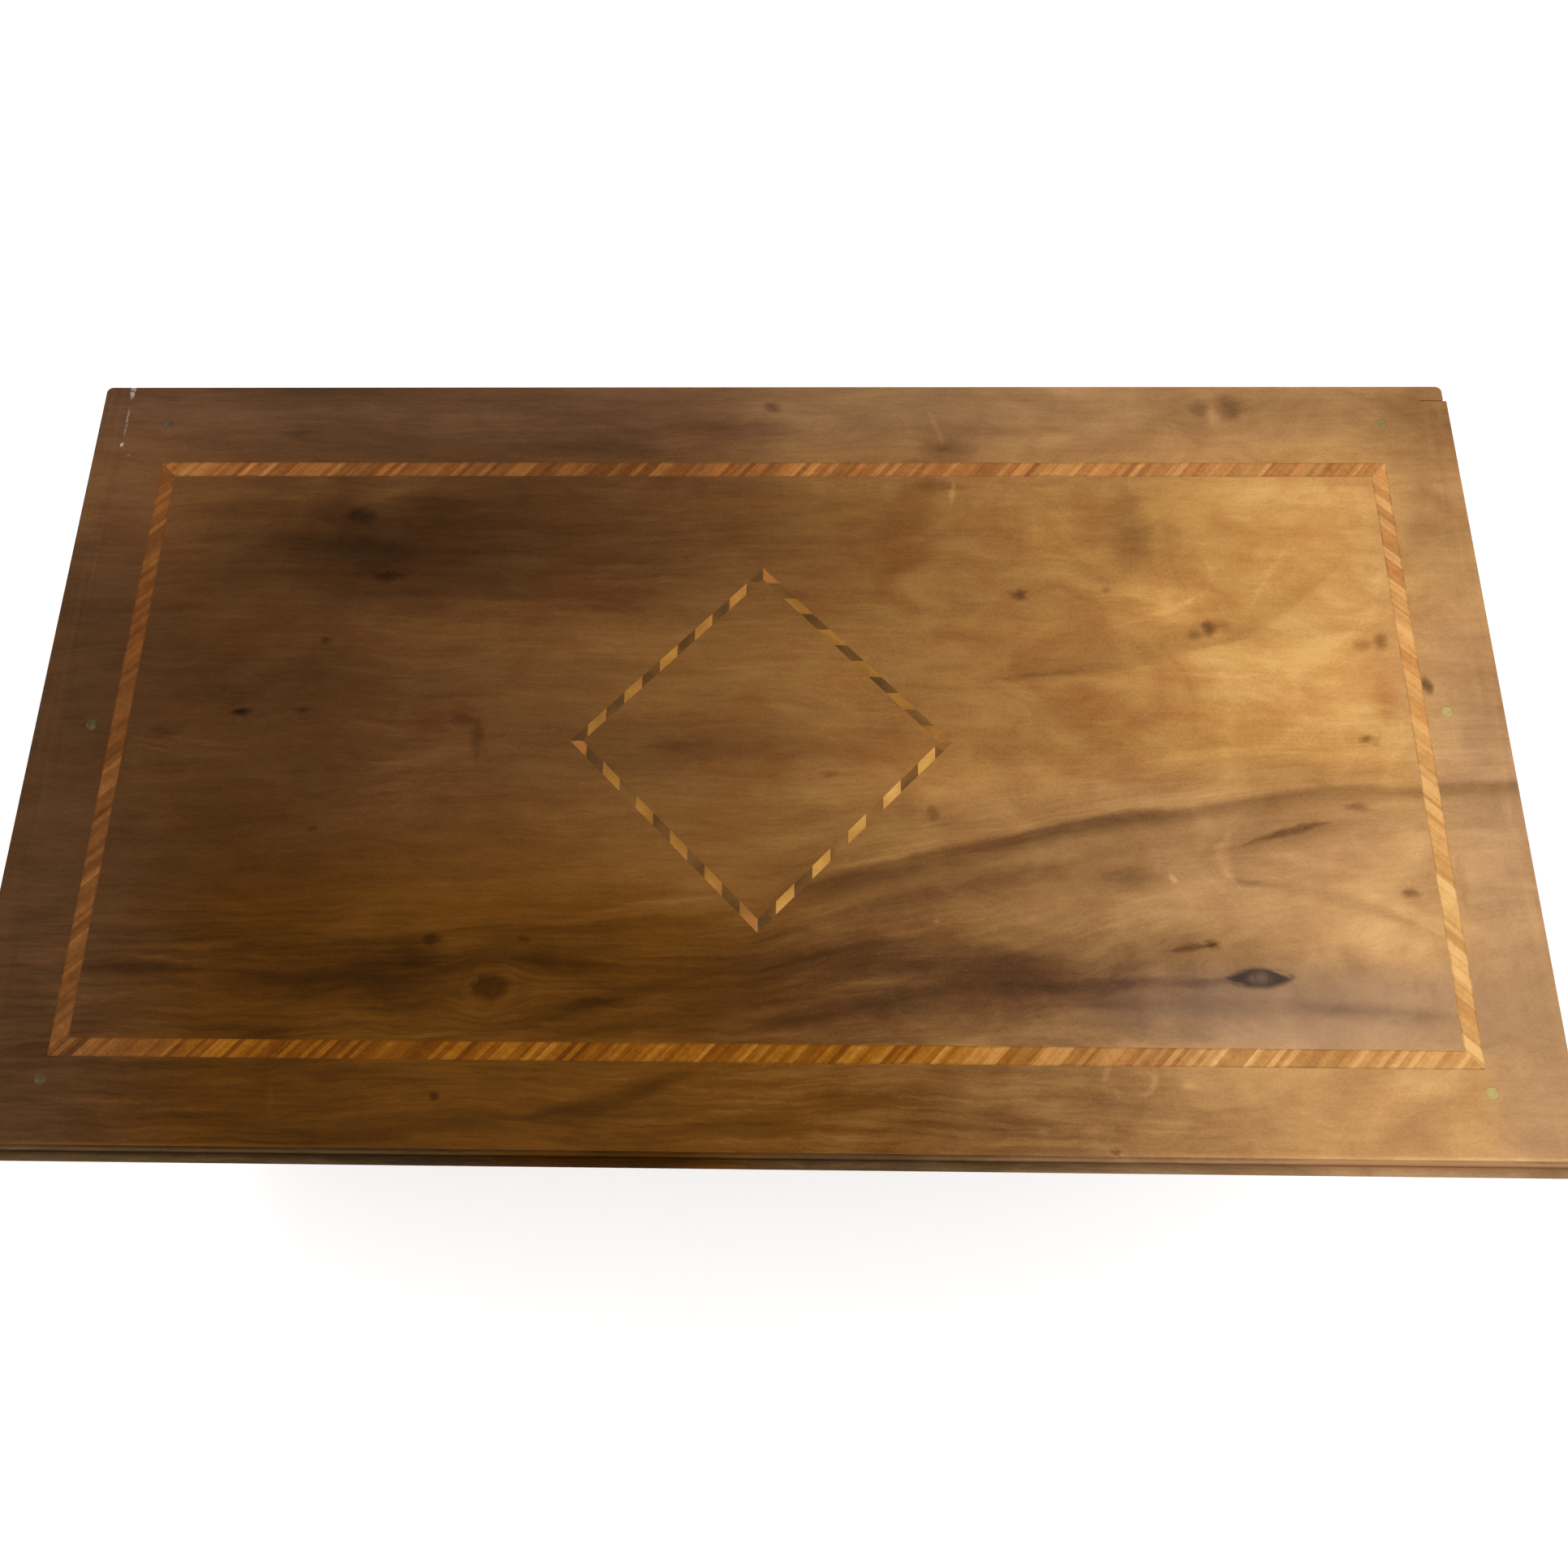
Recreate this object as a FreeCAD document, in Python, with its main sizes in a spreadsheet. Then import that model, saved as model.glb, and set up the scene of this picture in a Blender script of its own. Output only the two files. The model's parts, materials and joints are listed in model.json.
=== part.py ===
import FreeCAD, Part
import os
import re

import Sketcher

# An inlaid walnut puzzle box. Its hinged lid hides two rolling lock pins, and the right-hand
# strip of its plinth is the front of a secret drawer, which the front left foot locks.
# X runs along the width, the front faces -Y, Z is up, and the feet stand on Z = 0.

# Driving dimensions, in millimetres apart from the block count.
DIMENSIONS = {
    # Lid board, its lippings and the moulding along its front edge
    "lid_width": 360,
    "lid_depth": 195,
    "lid_thickness": 10,
    "lipping_width": 7.2,
    "rear_strip_depth": 4.2,
    "rear_strip_shortfall": 1,
    "quirk_width": 1.5,
    "bead_diameter": 2.2,
    "bead_drop": 1.6,
    "bead_sink": 0.8,
    "edge_cove": 3.5,
    # Inlay; the diamond sits a little off the middle of the banding
    "band_inset": 19,
    "band_width": 4.1,
    "inlay_depth": 1.2,
    "diamond_reach": 46.5,
    "diamond_width": 2.2,
    "diamond_left": 0.7,
    "diamond_forward": 0.8,
    "blocks_per_side": 11,
    # Lid pegs, from the lid's ends and from the middle of its depth
    "lid_peg_diameter": 2.8,
    "lid_peg_bite": 8,
    "corner_peg_inset": 18.4,
    "left_peg_offset": 0.6,
    "right_peg_offset": 5.5,
    # Case walls and the lid's rim, which stands over them
    "side_overhang": 9,
    "rear_overhang": 6.5,
    "wall_thickness": 10,
    "wall_height": 88,
    "rim_height": 16,
    "parting_gap": 0.3,
    "corner_lap": 5,
    "wall_peg_diameter": 3,
    "wall_peg_length": 17,
    # Floor, base and plinth
    "floor_step": 3,
    "floor_thickness": 5,
    "floor_tongue": 4,
    "base_thickness": 6,
    "plinth_cover": 2.7,
    "plinth_thickness": 8,
    "plinth_cove": 4,
    "base_screw_spacing": 100,
    "base_screw_bite": 12,
    "base_screw_radius": 1.5,
    "base_screw_head": 3,
    # Bun feet
    "foot_height": 14,
    "foot_radius": 15,
    "foot_base_radius": 11,
    "foot_inset": 26,
    "spigot_radius": 4,
    "spigot_cover": 1,
    # Key foot: shaft, bush and cam
    "shaft_radius": 4,
    "key_foot_sole": 5,
    "running_clearance": 0.05,
    "bush_wall": 2,
    "key_foot_gap": 0.3,
    "cam_rise": 10,
    "cam_height": 6,
    "cam_reach": 14,
    "cam_width": 8,
    "cam_hub_radius": 7,
    "cam_play": 1.5,
    # Secret drawer
    "key_channel": 17,
    "drawer_height": 21,
    "drawer_wall": 6,
    "drawer_gap": 0.3,
    "drawer_headroom": 1.7,
    "drawer_seat": 0.2,
    "drawer_end_gap": 2,
    "drawer_tenon": 3,
    "tray_bottom": 3,
    "tray_bottom_rise": 3,
    "tray_tongue": 2,
    "guide_height": 14,
    # Lid catch and its rolling pins
    "catch_half": 11,
    "catch_stem": 6,
    "catch_thickness": 6,
    "catch_bar": 5,
    "catch_block_inset": 2,
    "catch_gap": 1.5,
    "pin_diameter": 4,
    "pin_slack": 1.5,
    "pin_clearance": 0.15,
    "pin_rest": 0.5,
    "housing_length": 48,
    "housing_depth": 15,
    "housing_height": 11,
    "housing_drop": 1.2,
    "plug_length": 8,
    # Hinges
    "hinge_spacing": 220,
    "hinge_length": 42,
    "hinge_leaf": 8,
    "leaf_thickness": 1.5,
    "knuckle_radius": 2.5,
    "knuckle_gap": 0.2,
    "hinge_standoff": 0.3,
    "hinge_pin_radius": 1.25,
    "hinge_pin_overhang": 1,
    "hinge_screw_spacing": 14,
    "hinge_screw_length": 10,
    "hinge_screw_radius": 1.2,
    "hinge_screw_head": 2.2,
    # Sliding till
    "ledge_size": 6,
    "till_length": 120,
    "till_height": 20,
    "till_headroom": 3.5,
    "till_wall": 5,
    "till_gap": 0.3,
    "till_end_gap": 1,
}

# Named places and sizes that follow from the driving dimensions.
PLACES = {
    "half_lid": "lid_width / 2",
    "front_arris": "-lid_depth / 2",
    "rear_edge": "lid_depth / 2",
    "nose": "quirk_width + bead_diameter",
    "quirk_depth": "bead_drop + bead_diameter - bead_sink",
    "case_half": "half_lid - side_overhang",
    "case_front": "front_arris + side_overhang",
    "case_back": "rear_edge - rear_overhang",
    "inner_half": "case_half - wall_thickness",
    "inner_front": "case_front + wall_thickness",
    "inner_back": "case_back - wall_thickness",
    "base_top": "foot_height + base_thickness",
    "parting": "base_top + wall_height",
    "rim_bottom": "parting + parting_gap",
    "board_bottom": "rim_bottom + rim_height",
    "lid_top": "board_bottom + lid_thickness",
    "inlay_bottom": "lid_top - inlay_depth",
    "band_half": "half_lid - band_inset",
    "band_front": "front_arris + band_inset",
    "band_back": "rear_edge - rear_strip_depth - band_inset",
    "diamond_x": "-diamond_left",
    "diamond_y": "(band_front + band_back) / 2 - diamond_forward",
    "foot_half": "case_half - foot_inset",
    "key_front": "inner_front + key_channel / 2",
    "key_back": "inner_back - key_channel / 2",
    "cam_bottom": "base_top + cam_rise",
    "cam_top": "cam_bottom + cam_height",
    "cam_sweep": "sqrt(cam_reach ^ 2 + (cam_width / 2) ^ 2 - (key_channel / 2) ^ 2)",
    "drawer_base": "base_top + drawer_gap",
    "drawer_top": "drawer_base + drawer_height",
    "drawer_mouth": "drawer_top + drawer_headroom",
    "floor_bottom": "drawer_mouth + floor_step",
    "floor_top": "floor_bottom + floor_thickness",
    "plinth_top": "drawer_top + plinth_cover",
    "drawer_end": "-inner_half + drawer_end_gap",
    "drawer_face": "case_half + drawer_seat",
    "drawer_near": "inner_front + key_channel",
    "drawer_far": "inner_back - key_channel",
    "pin_y": "inner_front + housing_depth / 2",
    "pin_z": "parting - housing_drop - housing_height / 2",
    "pin_length": "housing_length - plug_length - pin_rest - pin_slack",
    "catch_top": "pin_z - pin_diameter / 2 - 2 * pin_clearance",
    "catch_bottom": "catch_top - catch_bar",
    "housing_start": "catch_half + catch_gap",
    "housing_end": "housing_start + housing_length",
    "hinge_y": "case_back + hinge_standoff + knuckle_radius",
    "hinge_z": "parting + parting_gap / 2",
    "till_top": "pin_z - housing_height / 2 - till_headroom",
    "till_base": "till_top - till_height",
    "ledge_top": "till_base - till_gap",
    "till_left": "-inner_half + till_end_gap",
    "till_right": "till_left + till_length",
    "till_near": "inner_front + till_gap",
    "till_far": "inner_back - till_gap",
}

DIRECTIONS = {
    "X": FreeCAD.Rotation(FreeCAD.Vector(0, 1, 0), 90),
    "Y": FreeCAD.Rotation(FreeCAD.Vector(1, 0, 0), -90),
    "Z": FreeCAD.Rotation(),
    "-Z": FreeCAD.Rotation(FreeCAD.Vector(1, 0, 0), 180),
}

# Each side of the box: the axis its face looks along, and which way.
SIDES = {"front": ("Y", -1), "back": ("Y", 1), "left": ("X", -1), "right": ("X", 1)}

WORD = re.compile(r"[a-z][a-z_]+")

doc = FreeCAD.newDocument("inlaid_puzzle_box")
parts = {}


def formula(text):
    """The text with each named size written as its cell or its place."""

    def owner(match):
        word = match.group()
        if word in DIMENSIONS:
            return "Dims." + word
        return "Places." + word if word in PLACES else word

    return WORD.sub(owner, text)


def bind(thing, setting, text):
    thing.setExpression(setting, formula(text))


def fill_sheet():
    sheet = doc.addObject("Spreadsheet::Sheet", "Dims")
    for row, (name, value) in enumerate(DIMENSIONS.items(), start=1):
        sheet.set(f"A{row}", name)
        sheet.set(f"B{row}", str(value))
        sheet.setAlias(f"B{row}", name)
    doc.recompute()
    return sheet


def fill_places():
    places = doc.addObject("App::VarSet", "Places")
    for name, text in PLACES.items():
        places.addProperty("App::PropertyFloat", name, "Places")
        bind(places, name, text)
    doc.recompute()
    return places


def place(thing, at):
    for axis, text in zip("xyz", at):
        bind(thing, f"Placement.Base.{axis}", text)
    return thing


def box(name, size, at):
    thing = doc.addObject("Part::Box", name)
    for setting, text in zip(("Length", "Width", "Height"), size):
        bind(thing, setting, text)
    return place(thing, at)


def between(name, low, high):
    """A box given by its lowest and highest corners."""
    return box(name, [f"{top} - ({bottom})" for bottom, top in zip(low, high)], low)


def cylinder(name, radius, length, at, along="Z"):
    thing = doc.addObject("Part::Cylinder", name)
    thing.Placement.Rotation = DIRECTIONS[along]
    bind(thing, "Radius", radius)
    bind(thing, "Height", length)
    return place(thing, at)


def cone(name, radius, end_radius, length, at, along="Z"):
    thing = doc.addObject("Part::Cone", name)
    thing.Placement.Rotation = DIRECTIONS[along]
    bind(thing, "Radius1", radius)
    bind(thing, "Radius2", end_radius)
    bind(thing, "Height", length)
    return place(thing, at)


def fuse(name, *pieces):
    thing = doc.addObject("Part::MultiFuse", name)
    thing.Shapes = list(pieces)
    thing.Refine = True
    return thing


def cut(name, base, *tools):
    thing = doc.addObject("Part::Cut", name)
    thing.Base = base
    thing.Tool = tools[0] if len(tools) == 1 else fuse(f"{name}_tools", *tools)
    return thing


def common(name, base, tool):
    thing = doc.addObject("Part::Common", name)
    thing.Base = base
    thing.Tool = tool
    return thing


def group(name, members):
    thing = doc.addObject("Part::Compound", name)
    thing.Links = list(members)
    return thing


def keep(label, thing):
    """Names a finished sub-part; its label names its file."""
    thing.Label = label
    parts[label] = thing
    return thing


def strip(name, side, face, span, out, rise):
    """A bar along one side of the box, its out distances counted outwards from a face."""
    axis, way = SIDES[side]
    near, far = out
    low = f"{face} + ({near})" if way > 0 else f"{face} - ({far})"
    length, depth = f"{span[1]} - ({span[0]})", f"{far} - ({near})"
    height = f"{rise[1]} - ({rise[0]})"
    if axis == "Y":
        return box(name, (length, depth, height), (span[0], low, rise[0]))
    return box(name, (depth, length, height), (low, span[0], rise[0]))


def rod(name, side, face, span, out, level, radius):
    """A round bar along one side of the box."""
    axis, way = SIDES[side]
    across = f"{face} + ({out})" if way > 0 else f"{face} - ({out})"
    length = f"{span[1]} - ({span[0]})"
    if axis == "Y":
        return cylinder(name, radius, length, (span[0], across, level), "X")
    return cylinder(name, radius, length, (across, span[0], level), "Y")


def mitre_block(name, side, face, out, back, half, grow, rise):
    """The room of a front or back strip whose ends are mitred at 45 degrees."""
    thing = doc.addObject("Part::Wedge", name)
    outer, inner = f"{half} + {out} + {grow}", f"{half} - ({back}) + {grow}"
    if SIDES[side][1] < 0:
        low, high, first, last = f"{face} - {out}", f"{face} + {back}", outer, inner
    else:
        low, high, first, last = f"{face} - ({back})", f"{face} + {out}", inner, outer
    bind(thing, "Ymin", low)
    bind(thing, "Ymax", high)
    bind(thing, "Xmin", f"-({first})")
    bind(thing, "Xmax", first)
    bind(thing, "X2min", f"-({last})")
    bind(thing, "X2max", last)
    for setting in ("Zmin", "Z2min"):
        bind(thing, setting, rise[0])
    for setting in ("Zmax", "Z2max"):
        bind(thing, setting, rise[1])
    return thing


def screw(name, at, along, radius, head, length):
    """A countersunk screw, its head's face at the given point."""
    depth = f"{head} - {radius}"
    return fuse(
        name,
        cone(f"{name}_head", head, radius, depth, at, along),
        cylinder(f"{name}_shank", radius, length, at, along),
    )


def front_moulding():
    """The lipping on the lid's front edge with its quirk, bead and cove, not yet mitred."""
    run = ("front", "front_arris", ("-half_lid", "half_lid"))
    radius = "bead_diameter / 2"
    solid = fuse(
        "lid_front_run",
        strip("lid_front_lipping", *run, ("-lipping_width", "0"), ("board_bottom", "lid_top")),
        strip("lid_front_shelf", *run, ("0", "nose"), ("board_bottom", "lid_top - quirk_depth")),
        rod("lid_front_bead", *run, f"nose - {radius}", f"lid_top - bead_drop - {radius}", radius),
    )
    hollow = rod("lid_front_hollow", *run, "nose", "board_bottom", "edge_cove")
    return cut("lid_front_moulded", solid, hollow)


def make_lid_edges():
    """The front moulding, mitred to a plain lipping on each end, and a strip along the rear edge."""
    board = ("board_bottom", "lid_top")
    mitre = mitre_block(
        "lid_mitre", "front", "front_arris", "nose", "lipping_width", "half_lid", "0", board
    )
    keep("lid_front_moulding", common("lid_front_mitred", front_moulding(), mitre))
    for side, face, end in (
        ("left", "-half_lid", "rear_edge"),
        ("right", "half_lid", "rear_edge - rear_strip_depth"),
    ):
        bar = strip(f"lid_{side}_bar", side, face, ("front_arris", end), ("-lipping_width", "0"), board)
        keep(f"lid_{side}_lipping", cut(f"lid_{side}_mitred", bar, mitre))
    keep(
        "lid_rear_strip",
        between(
            "rear_strip",
            ("-half_lid + lipping_width", "rear_edge - rear_strip_depth", "board_bottom"),
            ("half_lid - rear_strip_shortfall", "rear_edge", "lid_top"),
        ),
    )


def make_bands():
    """Four mitred strips of banding, let into the lid board."""
    rise = ("inlay_bottom", "lid_top")
    bands = [
        keep(
            f"band_{side}",
            mitre_block(f"{side}_banding", side, face, "0", "band_width", "band_half", "0", rise),
        )
        for side, face in (("front", "band_front"), ("back", "band_back"))
    ]
    for side, face in (("left", "-band_half"), ("right", "band_half")):
        span = ("band_front", "band_back")
        bar = strip(f"{side}_band_bar", side, face, span, ("-band_width", "0"), rise)
        bands.append(keep(f"band_{side}", cut(f"{side}_banding", bar, *bands[:2])))
    return bands


def diamond_blocks(sheet):
    """The diamond's light and dark blocks, alternating all the way round from its top corner.

    Each side is a 45 degree strip cut into blocks. Three sides have their cuts square to X,
    and the upper right side, which was cut the other way, has them square to Y.
    """
    reach, count = sheet.diamond_reach, int(sheet.blocks_per_side)
    inner, depth = reach - sheet.diamond_width * 2**0.5, sheet.inlay_depth
    pitch = reach / count
    corners = [(0, reach), (reach, 0), (inner, 0), (0, inner), (0, reach)]
    wire = Part.makePolygon([FreeCAD.Vector(x, y, 0) for x, y in corners])
    side = Part.Face(wire).extrude(FreeCAD.Vector(0, 0, depth))
    upright = [
        side.common(Part.makeBox(pitch, reach, depth, FreeCAD.Vector(k * pitch, 0, 0)))
        for k in range(count)
    ]
    level = [
        side.common(Part.makeBox(reach, pitch, depth, FreeCAD.Vector(0, k * pitch, 0)))
        for k in range(count)
    ]
    flip_x, flip_y = FreeCAD.Vector(1, 0, 0), FreeCAD.Vector(0, 1, 0)
    origin = FreeCAD.Vector()
    sides = [
        [block.mirror(origin, flip_x) for block in upright],
        [block.mirror(origin, flip_x).mirror(origin, flip_y) for block in reversed(upright)],
        [block.mirror(origin, flip_y) for block in upright],
        level,
    ]
    ring = [block.Solids[0] for blocks in sides for block in blocks]
    return ring[1::2], ring[0::2]


def make_diamond(sheet):
    """Both tones of the diamond's blocks, and the groove that takes them."""
    light, dark = diamond_blocks(sheet)
    at = ("diamond_x", "diamond_y", "inlay_bottom")
    for label, blocks in (("diamond_light_blocks", light), ("diamond_dark_blocks", dark)):
        thing = doc.addObject("Part::Feature", label)
        thing.Shape = Part.Compound(blocks)
        keep(label, place(thing, at))
    rims = []
    for name, reach in (("outer", "diamond_reach"), ("inner", "diamond_reach - sqrt(2) * diamond_width")):
        prism = doc.addObject("Part::Prism", f"diamond_{name}")
        prism.Polygon = 4
        bind(prism, "Circumradius", reach)
        bind(prism, "Height", "inlay_depth")
        rims.append(place(prism, at))
    return cut("diamond_groove", *rims)


def make_lid_pegs():
    places = [
        (f"{way}(half_lid - corner_peg_inset)", y)
        for way in ("-", "")
        for y in ("case_front + wall_thickness / 2", "case_back - wall_thickness / 2")
    ]
    places.append(("-case_half + wall_thickness / 2", "left_peg_offset"))
    places.append(("case_half - wall_thickness / 2", "right_peg_offset"))
    level = "board_bottom - lid_peg_bite"
    pegs = [
        cylinder(f"lid_peg_{k}", "lid_peg_diameter / 2", "lid_thickness + lid_peg_bite", (x, y, level))
        for k, (x, y) in enumerate(places)
    ]
    return keep("lid_pegs", group("lid_peg_set", pegs))


def frame_ends(name, low, high, right_low):
    """The left and right bars of a lapped frame of the case's plan."""
    near, far = "case_front + corner_lap", "case_back - corner_lap"
    left = between(f"{name}_left_bar", ("-case_half", near, low), ("-inner_half", far, high))
    right = between(f"{name}_right_bar", ("inner_half", near, right_low), ("case_half", far, high))
    return left, right


def frame_long(name, low, high):
    """The front and back bars of the same frame, before their ends are lapped."""
    faces = {"front": ("case_front", "inner_front"), "back": ("inner_back", "case_back")}
    return [
        between(f"{name}_{side}_bar", ("-case_half", near, low), ("case_half", far, high))
        for side, (near, far) in faces.items()
    ]


def make_lid(sheet, hinge_fittings):
    """Lid board with its inlay, edges and pegs, on a lapped rim."""
    make_lid_edges()
    bands = make_bands()
    groove = make_diamond(sheet)
    pegs = make_lid_pegs()
    blank = between(
        "lid_board_blank",
        ("-half_lid + lipping_width", "front_arris + lipping_width", "board_bottom"),
        ("half_lid - lipping_width", "rear_edge - rear_strip_depth", "lid_top"),
    )
    keep("lid_board", cut("lid_board_inlaid", blank, *bands, groove, pegs))
    left, right = frame_ends("rim", "rim_bottom", "board_bottom", "rim_bottom")
    front, back = frame_long("rim", "rim_bottom", "board_bottom")
    keep("lid_left_rail", cut("left_rail", left, pegs))
    keep("lid_right_rail", cut("right_rail", right, pegs))
    keep("lid_front_rail", cut("front_rail", front, left, right, pegs))
    keep("lid_back_rail", cut("back_rail", back, left, right, pegs, *hinge_fittings))


def make_catch():
    """The lid's catch: a block on the front rail, and a stem whose cross bar the pins hold down."""
    near, far = "pin_y - catch_thickness / 2", "pin_y + catch_thickness / 2"
    block_low = "rim_bottom + catch_block_inset"
    block = between(
        "catch_head", ("-catch_half", "inner_front", block_low),
        ("catch_half", far, "board_bottom - catch_block_inset"),
    )
    stem = between(
        "catch_shank", ("-catch_stem / 2", near, "catch_bottom"),
        ("catch_stem / 2", far, f"{block_low} + catch_bar"),
    )
    bar = between(
        "catch_foot", ("-catch_half", near, "catch_bottom"), ("catch_half", far, "catch_top")
    )
    keep("lid_catch", fuse("catch", block, stem, bar))


def make_lock_pins():
    """Two rolling pins in bored housings, each closed by a plug; stored in the unlocked place."""
    bore = "pin_diameter / 2 + pin_clearance"
    near, far = "inner_front", "inner_front + housing_depth"
    low, high = "pin_z - housing_height / 2", "pin_z + housing_height / 2"
    starts = {
        "left": ("-housing_end", "-housing_end", "-housing_start - pin_rest - pin_length"),
        "right": ("housing_start", "housing_end - plug_length", "housing_start + pin_rest"),
    }
    plugs = []
    for side, (start, plug_start, pin_start) in starts.items():
        block = between(f"{side}_housing_block", (start, near, low), (f"{start} + housing_length", far, high))
        channel = cylinder(f"{side}_channel", bore, "housing_length", (start, "pin_y", "pin_z"), "X")
        keep(f"pin_housing_{side}", cut(f"{side}_housing", block, channel))
        plugs.append(cylinder(f"{side}_plug", bore, "plug_length", (plug_start, "pin_y", "pin_z"), "X"))
        pin = cylinder(f"{side}_pin", "pin_diameter / 2", "pin_length", (pin_start, "pin_y", "pin_z"), "X")
        keep(f"lock_pin_{side}", pin)
    keep("housing_plugs", group("plug_pair", plugs))


def hinge_leaf(name, centre, low, high, own_knuckles):
    """One leaf: a plate let into the wood, with tongues rolled round the pin."""
    start = f"{centre} - hinge_length / 2"
    plate = between(
        f"{name}_plate", (start, "case_back - hinge_leaf", low),
        (f"{start} + hinge_length", "case_back", high),
    )
    pieces = [plate]
    for k in own_knuckles:
        begin = f"{start} + {k} * hinge_length / 3 + knuckle_gap / 2"
        length = "hinge_length / 3 - knuckle_gap"
        tongue = (length, "hinge_y - case_back", f"{high} - ({low})")
        pieces.append(box(f"{name}_tongue_{k}", tongue, (begin, "case_back", low)))
        barrel = (begin, "hinge_y", "hinge_z")
        pieces.append(cylinder(f"{name}_barrel_{k}", "knuckle_radius", length, barrel, "X"))
    bore = cylinder(
        f"{name}_bore", "hinge_pin_radius + running_clearance", "hinge_length",
        (start, "hinge_y", "hinge_z"), "X",
    )
    return cut(f"{name}_bored", fuse(f"{name}_rolled", *pieces), bore)


def make_hinges():
    """Two butt hinges with their screws and pins; gives what the rail and the wall are cut by."""
    leaves = {
        "lid": ("rim_bottom", "rim_bottom + leaf_thickness", (1,), "rim_bottom", "Z"),
        "case": ("parting - leaf_thickness", "parting", (0, 2), "parting", "-Z"),
    }
    centres = {"left": "-hinge_spacing / 2", "right": "hinge_spacing / 2"}
    fittings = {}
    for owner, (low, high, knuckles, face, along) in leaves.items():
        screws, finished = [], []
        for side, centre in centres.items():
            leaf = hinge_leaf(f"{side}_{owner}_leaf", centre, low, high, knuckles)
            row = [
                screw(
                    f"{side}_{owner}_screw_{k}",
                    (f"{centre} + {k - 1} * hinge_screw_spacing", "case_back - hinge_leaf / 2", face),
                    along, "hinge_screw_radius", "hinge_screw_head", "hinge_screw_length",
                )
                for k in range(3)
            ]
            screws += row
            finished.append(cut(f"{side}_{owner}_leaf_drilled", leaf, *row))
        leaf_set = keep(f"hinge_{owner}_leaves", group(f"{owner}_leaf_pair", finished))
        screw_set = keep(f"hinge_{owner}_screws", group(f"{owner}_screw_set", screws))
        fittings[owner] = [leaf_set, screw_set]
    pins = [
        cylinder(
            f"{side}_hinge_pin", "hinge_pin_radius", "hinge_length + 2 * hinge_pin_overhang",
            (f"{centre} - hinge_length / 2 - hinge_pin_overhang", "hinge_y", "hinge_z"), "X",
        )
        for side, centre in centres.items()
    ]
    keep("hinge_pins", group("hinge_pin_pair", pins))
    return fittings


def make_wall_pegs():
    """Pegs through the laps of the walls, three at each corner."""
    pegs = []
    starts = {"front": "case_front", "back": "case_back - wall_peg_length"}
    middles = {"left": "-case_half + wall_thickness / 2", "right": "case_half - wall_thickness / 2"}
    for side, start in starts.items():
        for end, x in middles.items():
            for k in range(3):
                level = f"floor_top + (parting - floor_top) * {k + 1} / 4"
                pegs.append(
                    cylinder(
                        f"{side}_{end}_peg_{k}", "wall_peg_diameter / 2", "wall_peg_length",
                        (x, start, level), "Y",
                    )
                )
    return keep("wall_pegs", group("wall_peg_set", pegs))


def make_base_screws():
    screws = [
        screw(
            f"{side}_base_screw_{k}", (f"{k - 1} * base_screw_spacing", y, "foot_height"), "Z",
            "base_screw_radius", "base_screw_head", "base_thickness + base_screw_bite",
        )
        for side, y in (
            ("front", "case_front + wall_thickness / 2"), ("back", "case_back - wall_thickness / 2"),
        )
        for k in range(3)
    ]
    return keep("base_screws", group("base_screw_set", screws))


def turned_foot(label, x, y, height, has_spigot):
    """A bun foot turned about its own axis, with a spigot where it is glued into the base."""
    body = doc.addObject("PartDesign::Body", label)
    sketch = body.newObject("Sketcher::SketchObject", f"{label}_profile")
    plane = next(f for f in body.Origin.OriginFeatures if f.Role == "XZ_Plane")
    sketch.AttachmentSupport = [(plane, "")]
    sketch.MapMode = "FlatFace"
    outline = foot_outline(height, has_spigot)
    draw_outline(sketch, outline)
    doc.recompute()
    turning = body.newObject("PartDesign::Revolution", f"{label}_turning")
    turning.Profile = sketch
    turning.ReferenceAxis = (sketch, ["V_Axis"])
    turning.Angle = 360
    return place(body, (x, y, "0"))


def foot_outline(height, has_spigot):
    """Radius, height and, where the line to the next corner is an arc, its radius."""
    half = f"(({height}) / 2)"
    swell = "(foot_radius - foot_base_radius)"
    bulge = f"({swell} ^ 2 + {half} ^ 2) / (2 * {swell})"
    outline = [("0", "0", None), ("foot_base_radius", "0", bulge), ("foot_base_radius", height, None)]
    if has_spigot:
        top = f"{height} + base_thickness - spigot_cover"
        outline += [("spigot_radius", height, None), ("spigot_radius", top, None), ("0", top, None)]
    else:
        outline.append(("0", height, None))
    return outline


def draw_outline(sketch, outline):
    """Draws a closed outline whose corners and arcs are bound to the sheet."""
    spots = [(measure(x), measure(y)) for x, y, bulge in outline]
    for k, (x, y, bulge) in enumerate(outline):
        start = FreeCAD.Vector(*spots[k], 0)
        end = FreeCAD.Vector(*spots[(k + 1) % len(spots)], 0)
        if bulge is None:
            sketch.addGeometry(Part.LineSegment(start, end), False)
        else:
            swell = FreeCAD.Vector(measure("foot_radius"), (start.y + end.y) / 2, 0)
            sketch.addGeometry(Part.Arc(start, swell, end), False)
    for k in range(len(outline)):
        sketch.addConstraint(Sketcher.Constraint("Coincident", k, 2, (k + 1) % len(outline), 1))
    for k, (x, y, bulge) in enumerate(outline):
        for kind, axis, text in (("DistanceX", -2, x), ("DistanceY", -1, y)):
            if text == "0":
                sketch.addConstraint(Sketcher.Constraint("PointOnObject", k, 1, axis))
                continue
            row = sketch.addConstraint(Sketcher.Constraint(kind, -1, 1, k, 1, measure(text)))
            bind(sketch, f"Constraints[{row}]", text)
        if bulge is not None:
            row = sketch.addConstraint(Sketcher.Constraint("Radius", k, measure(bulge)))
            bind(sketch, f"Constraints[{row}]", bulge)


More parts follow.
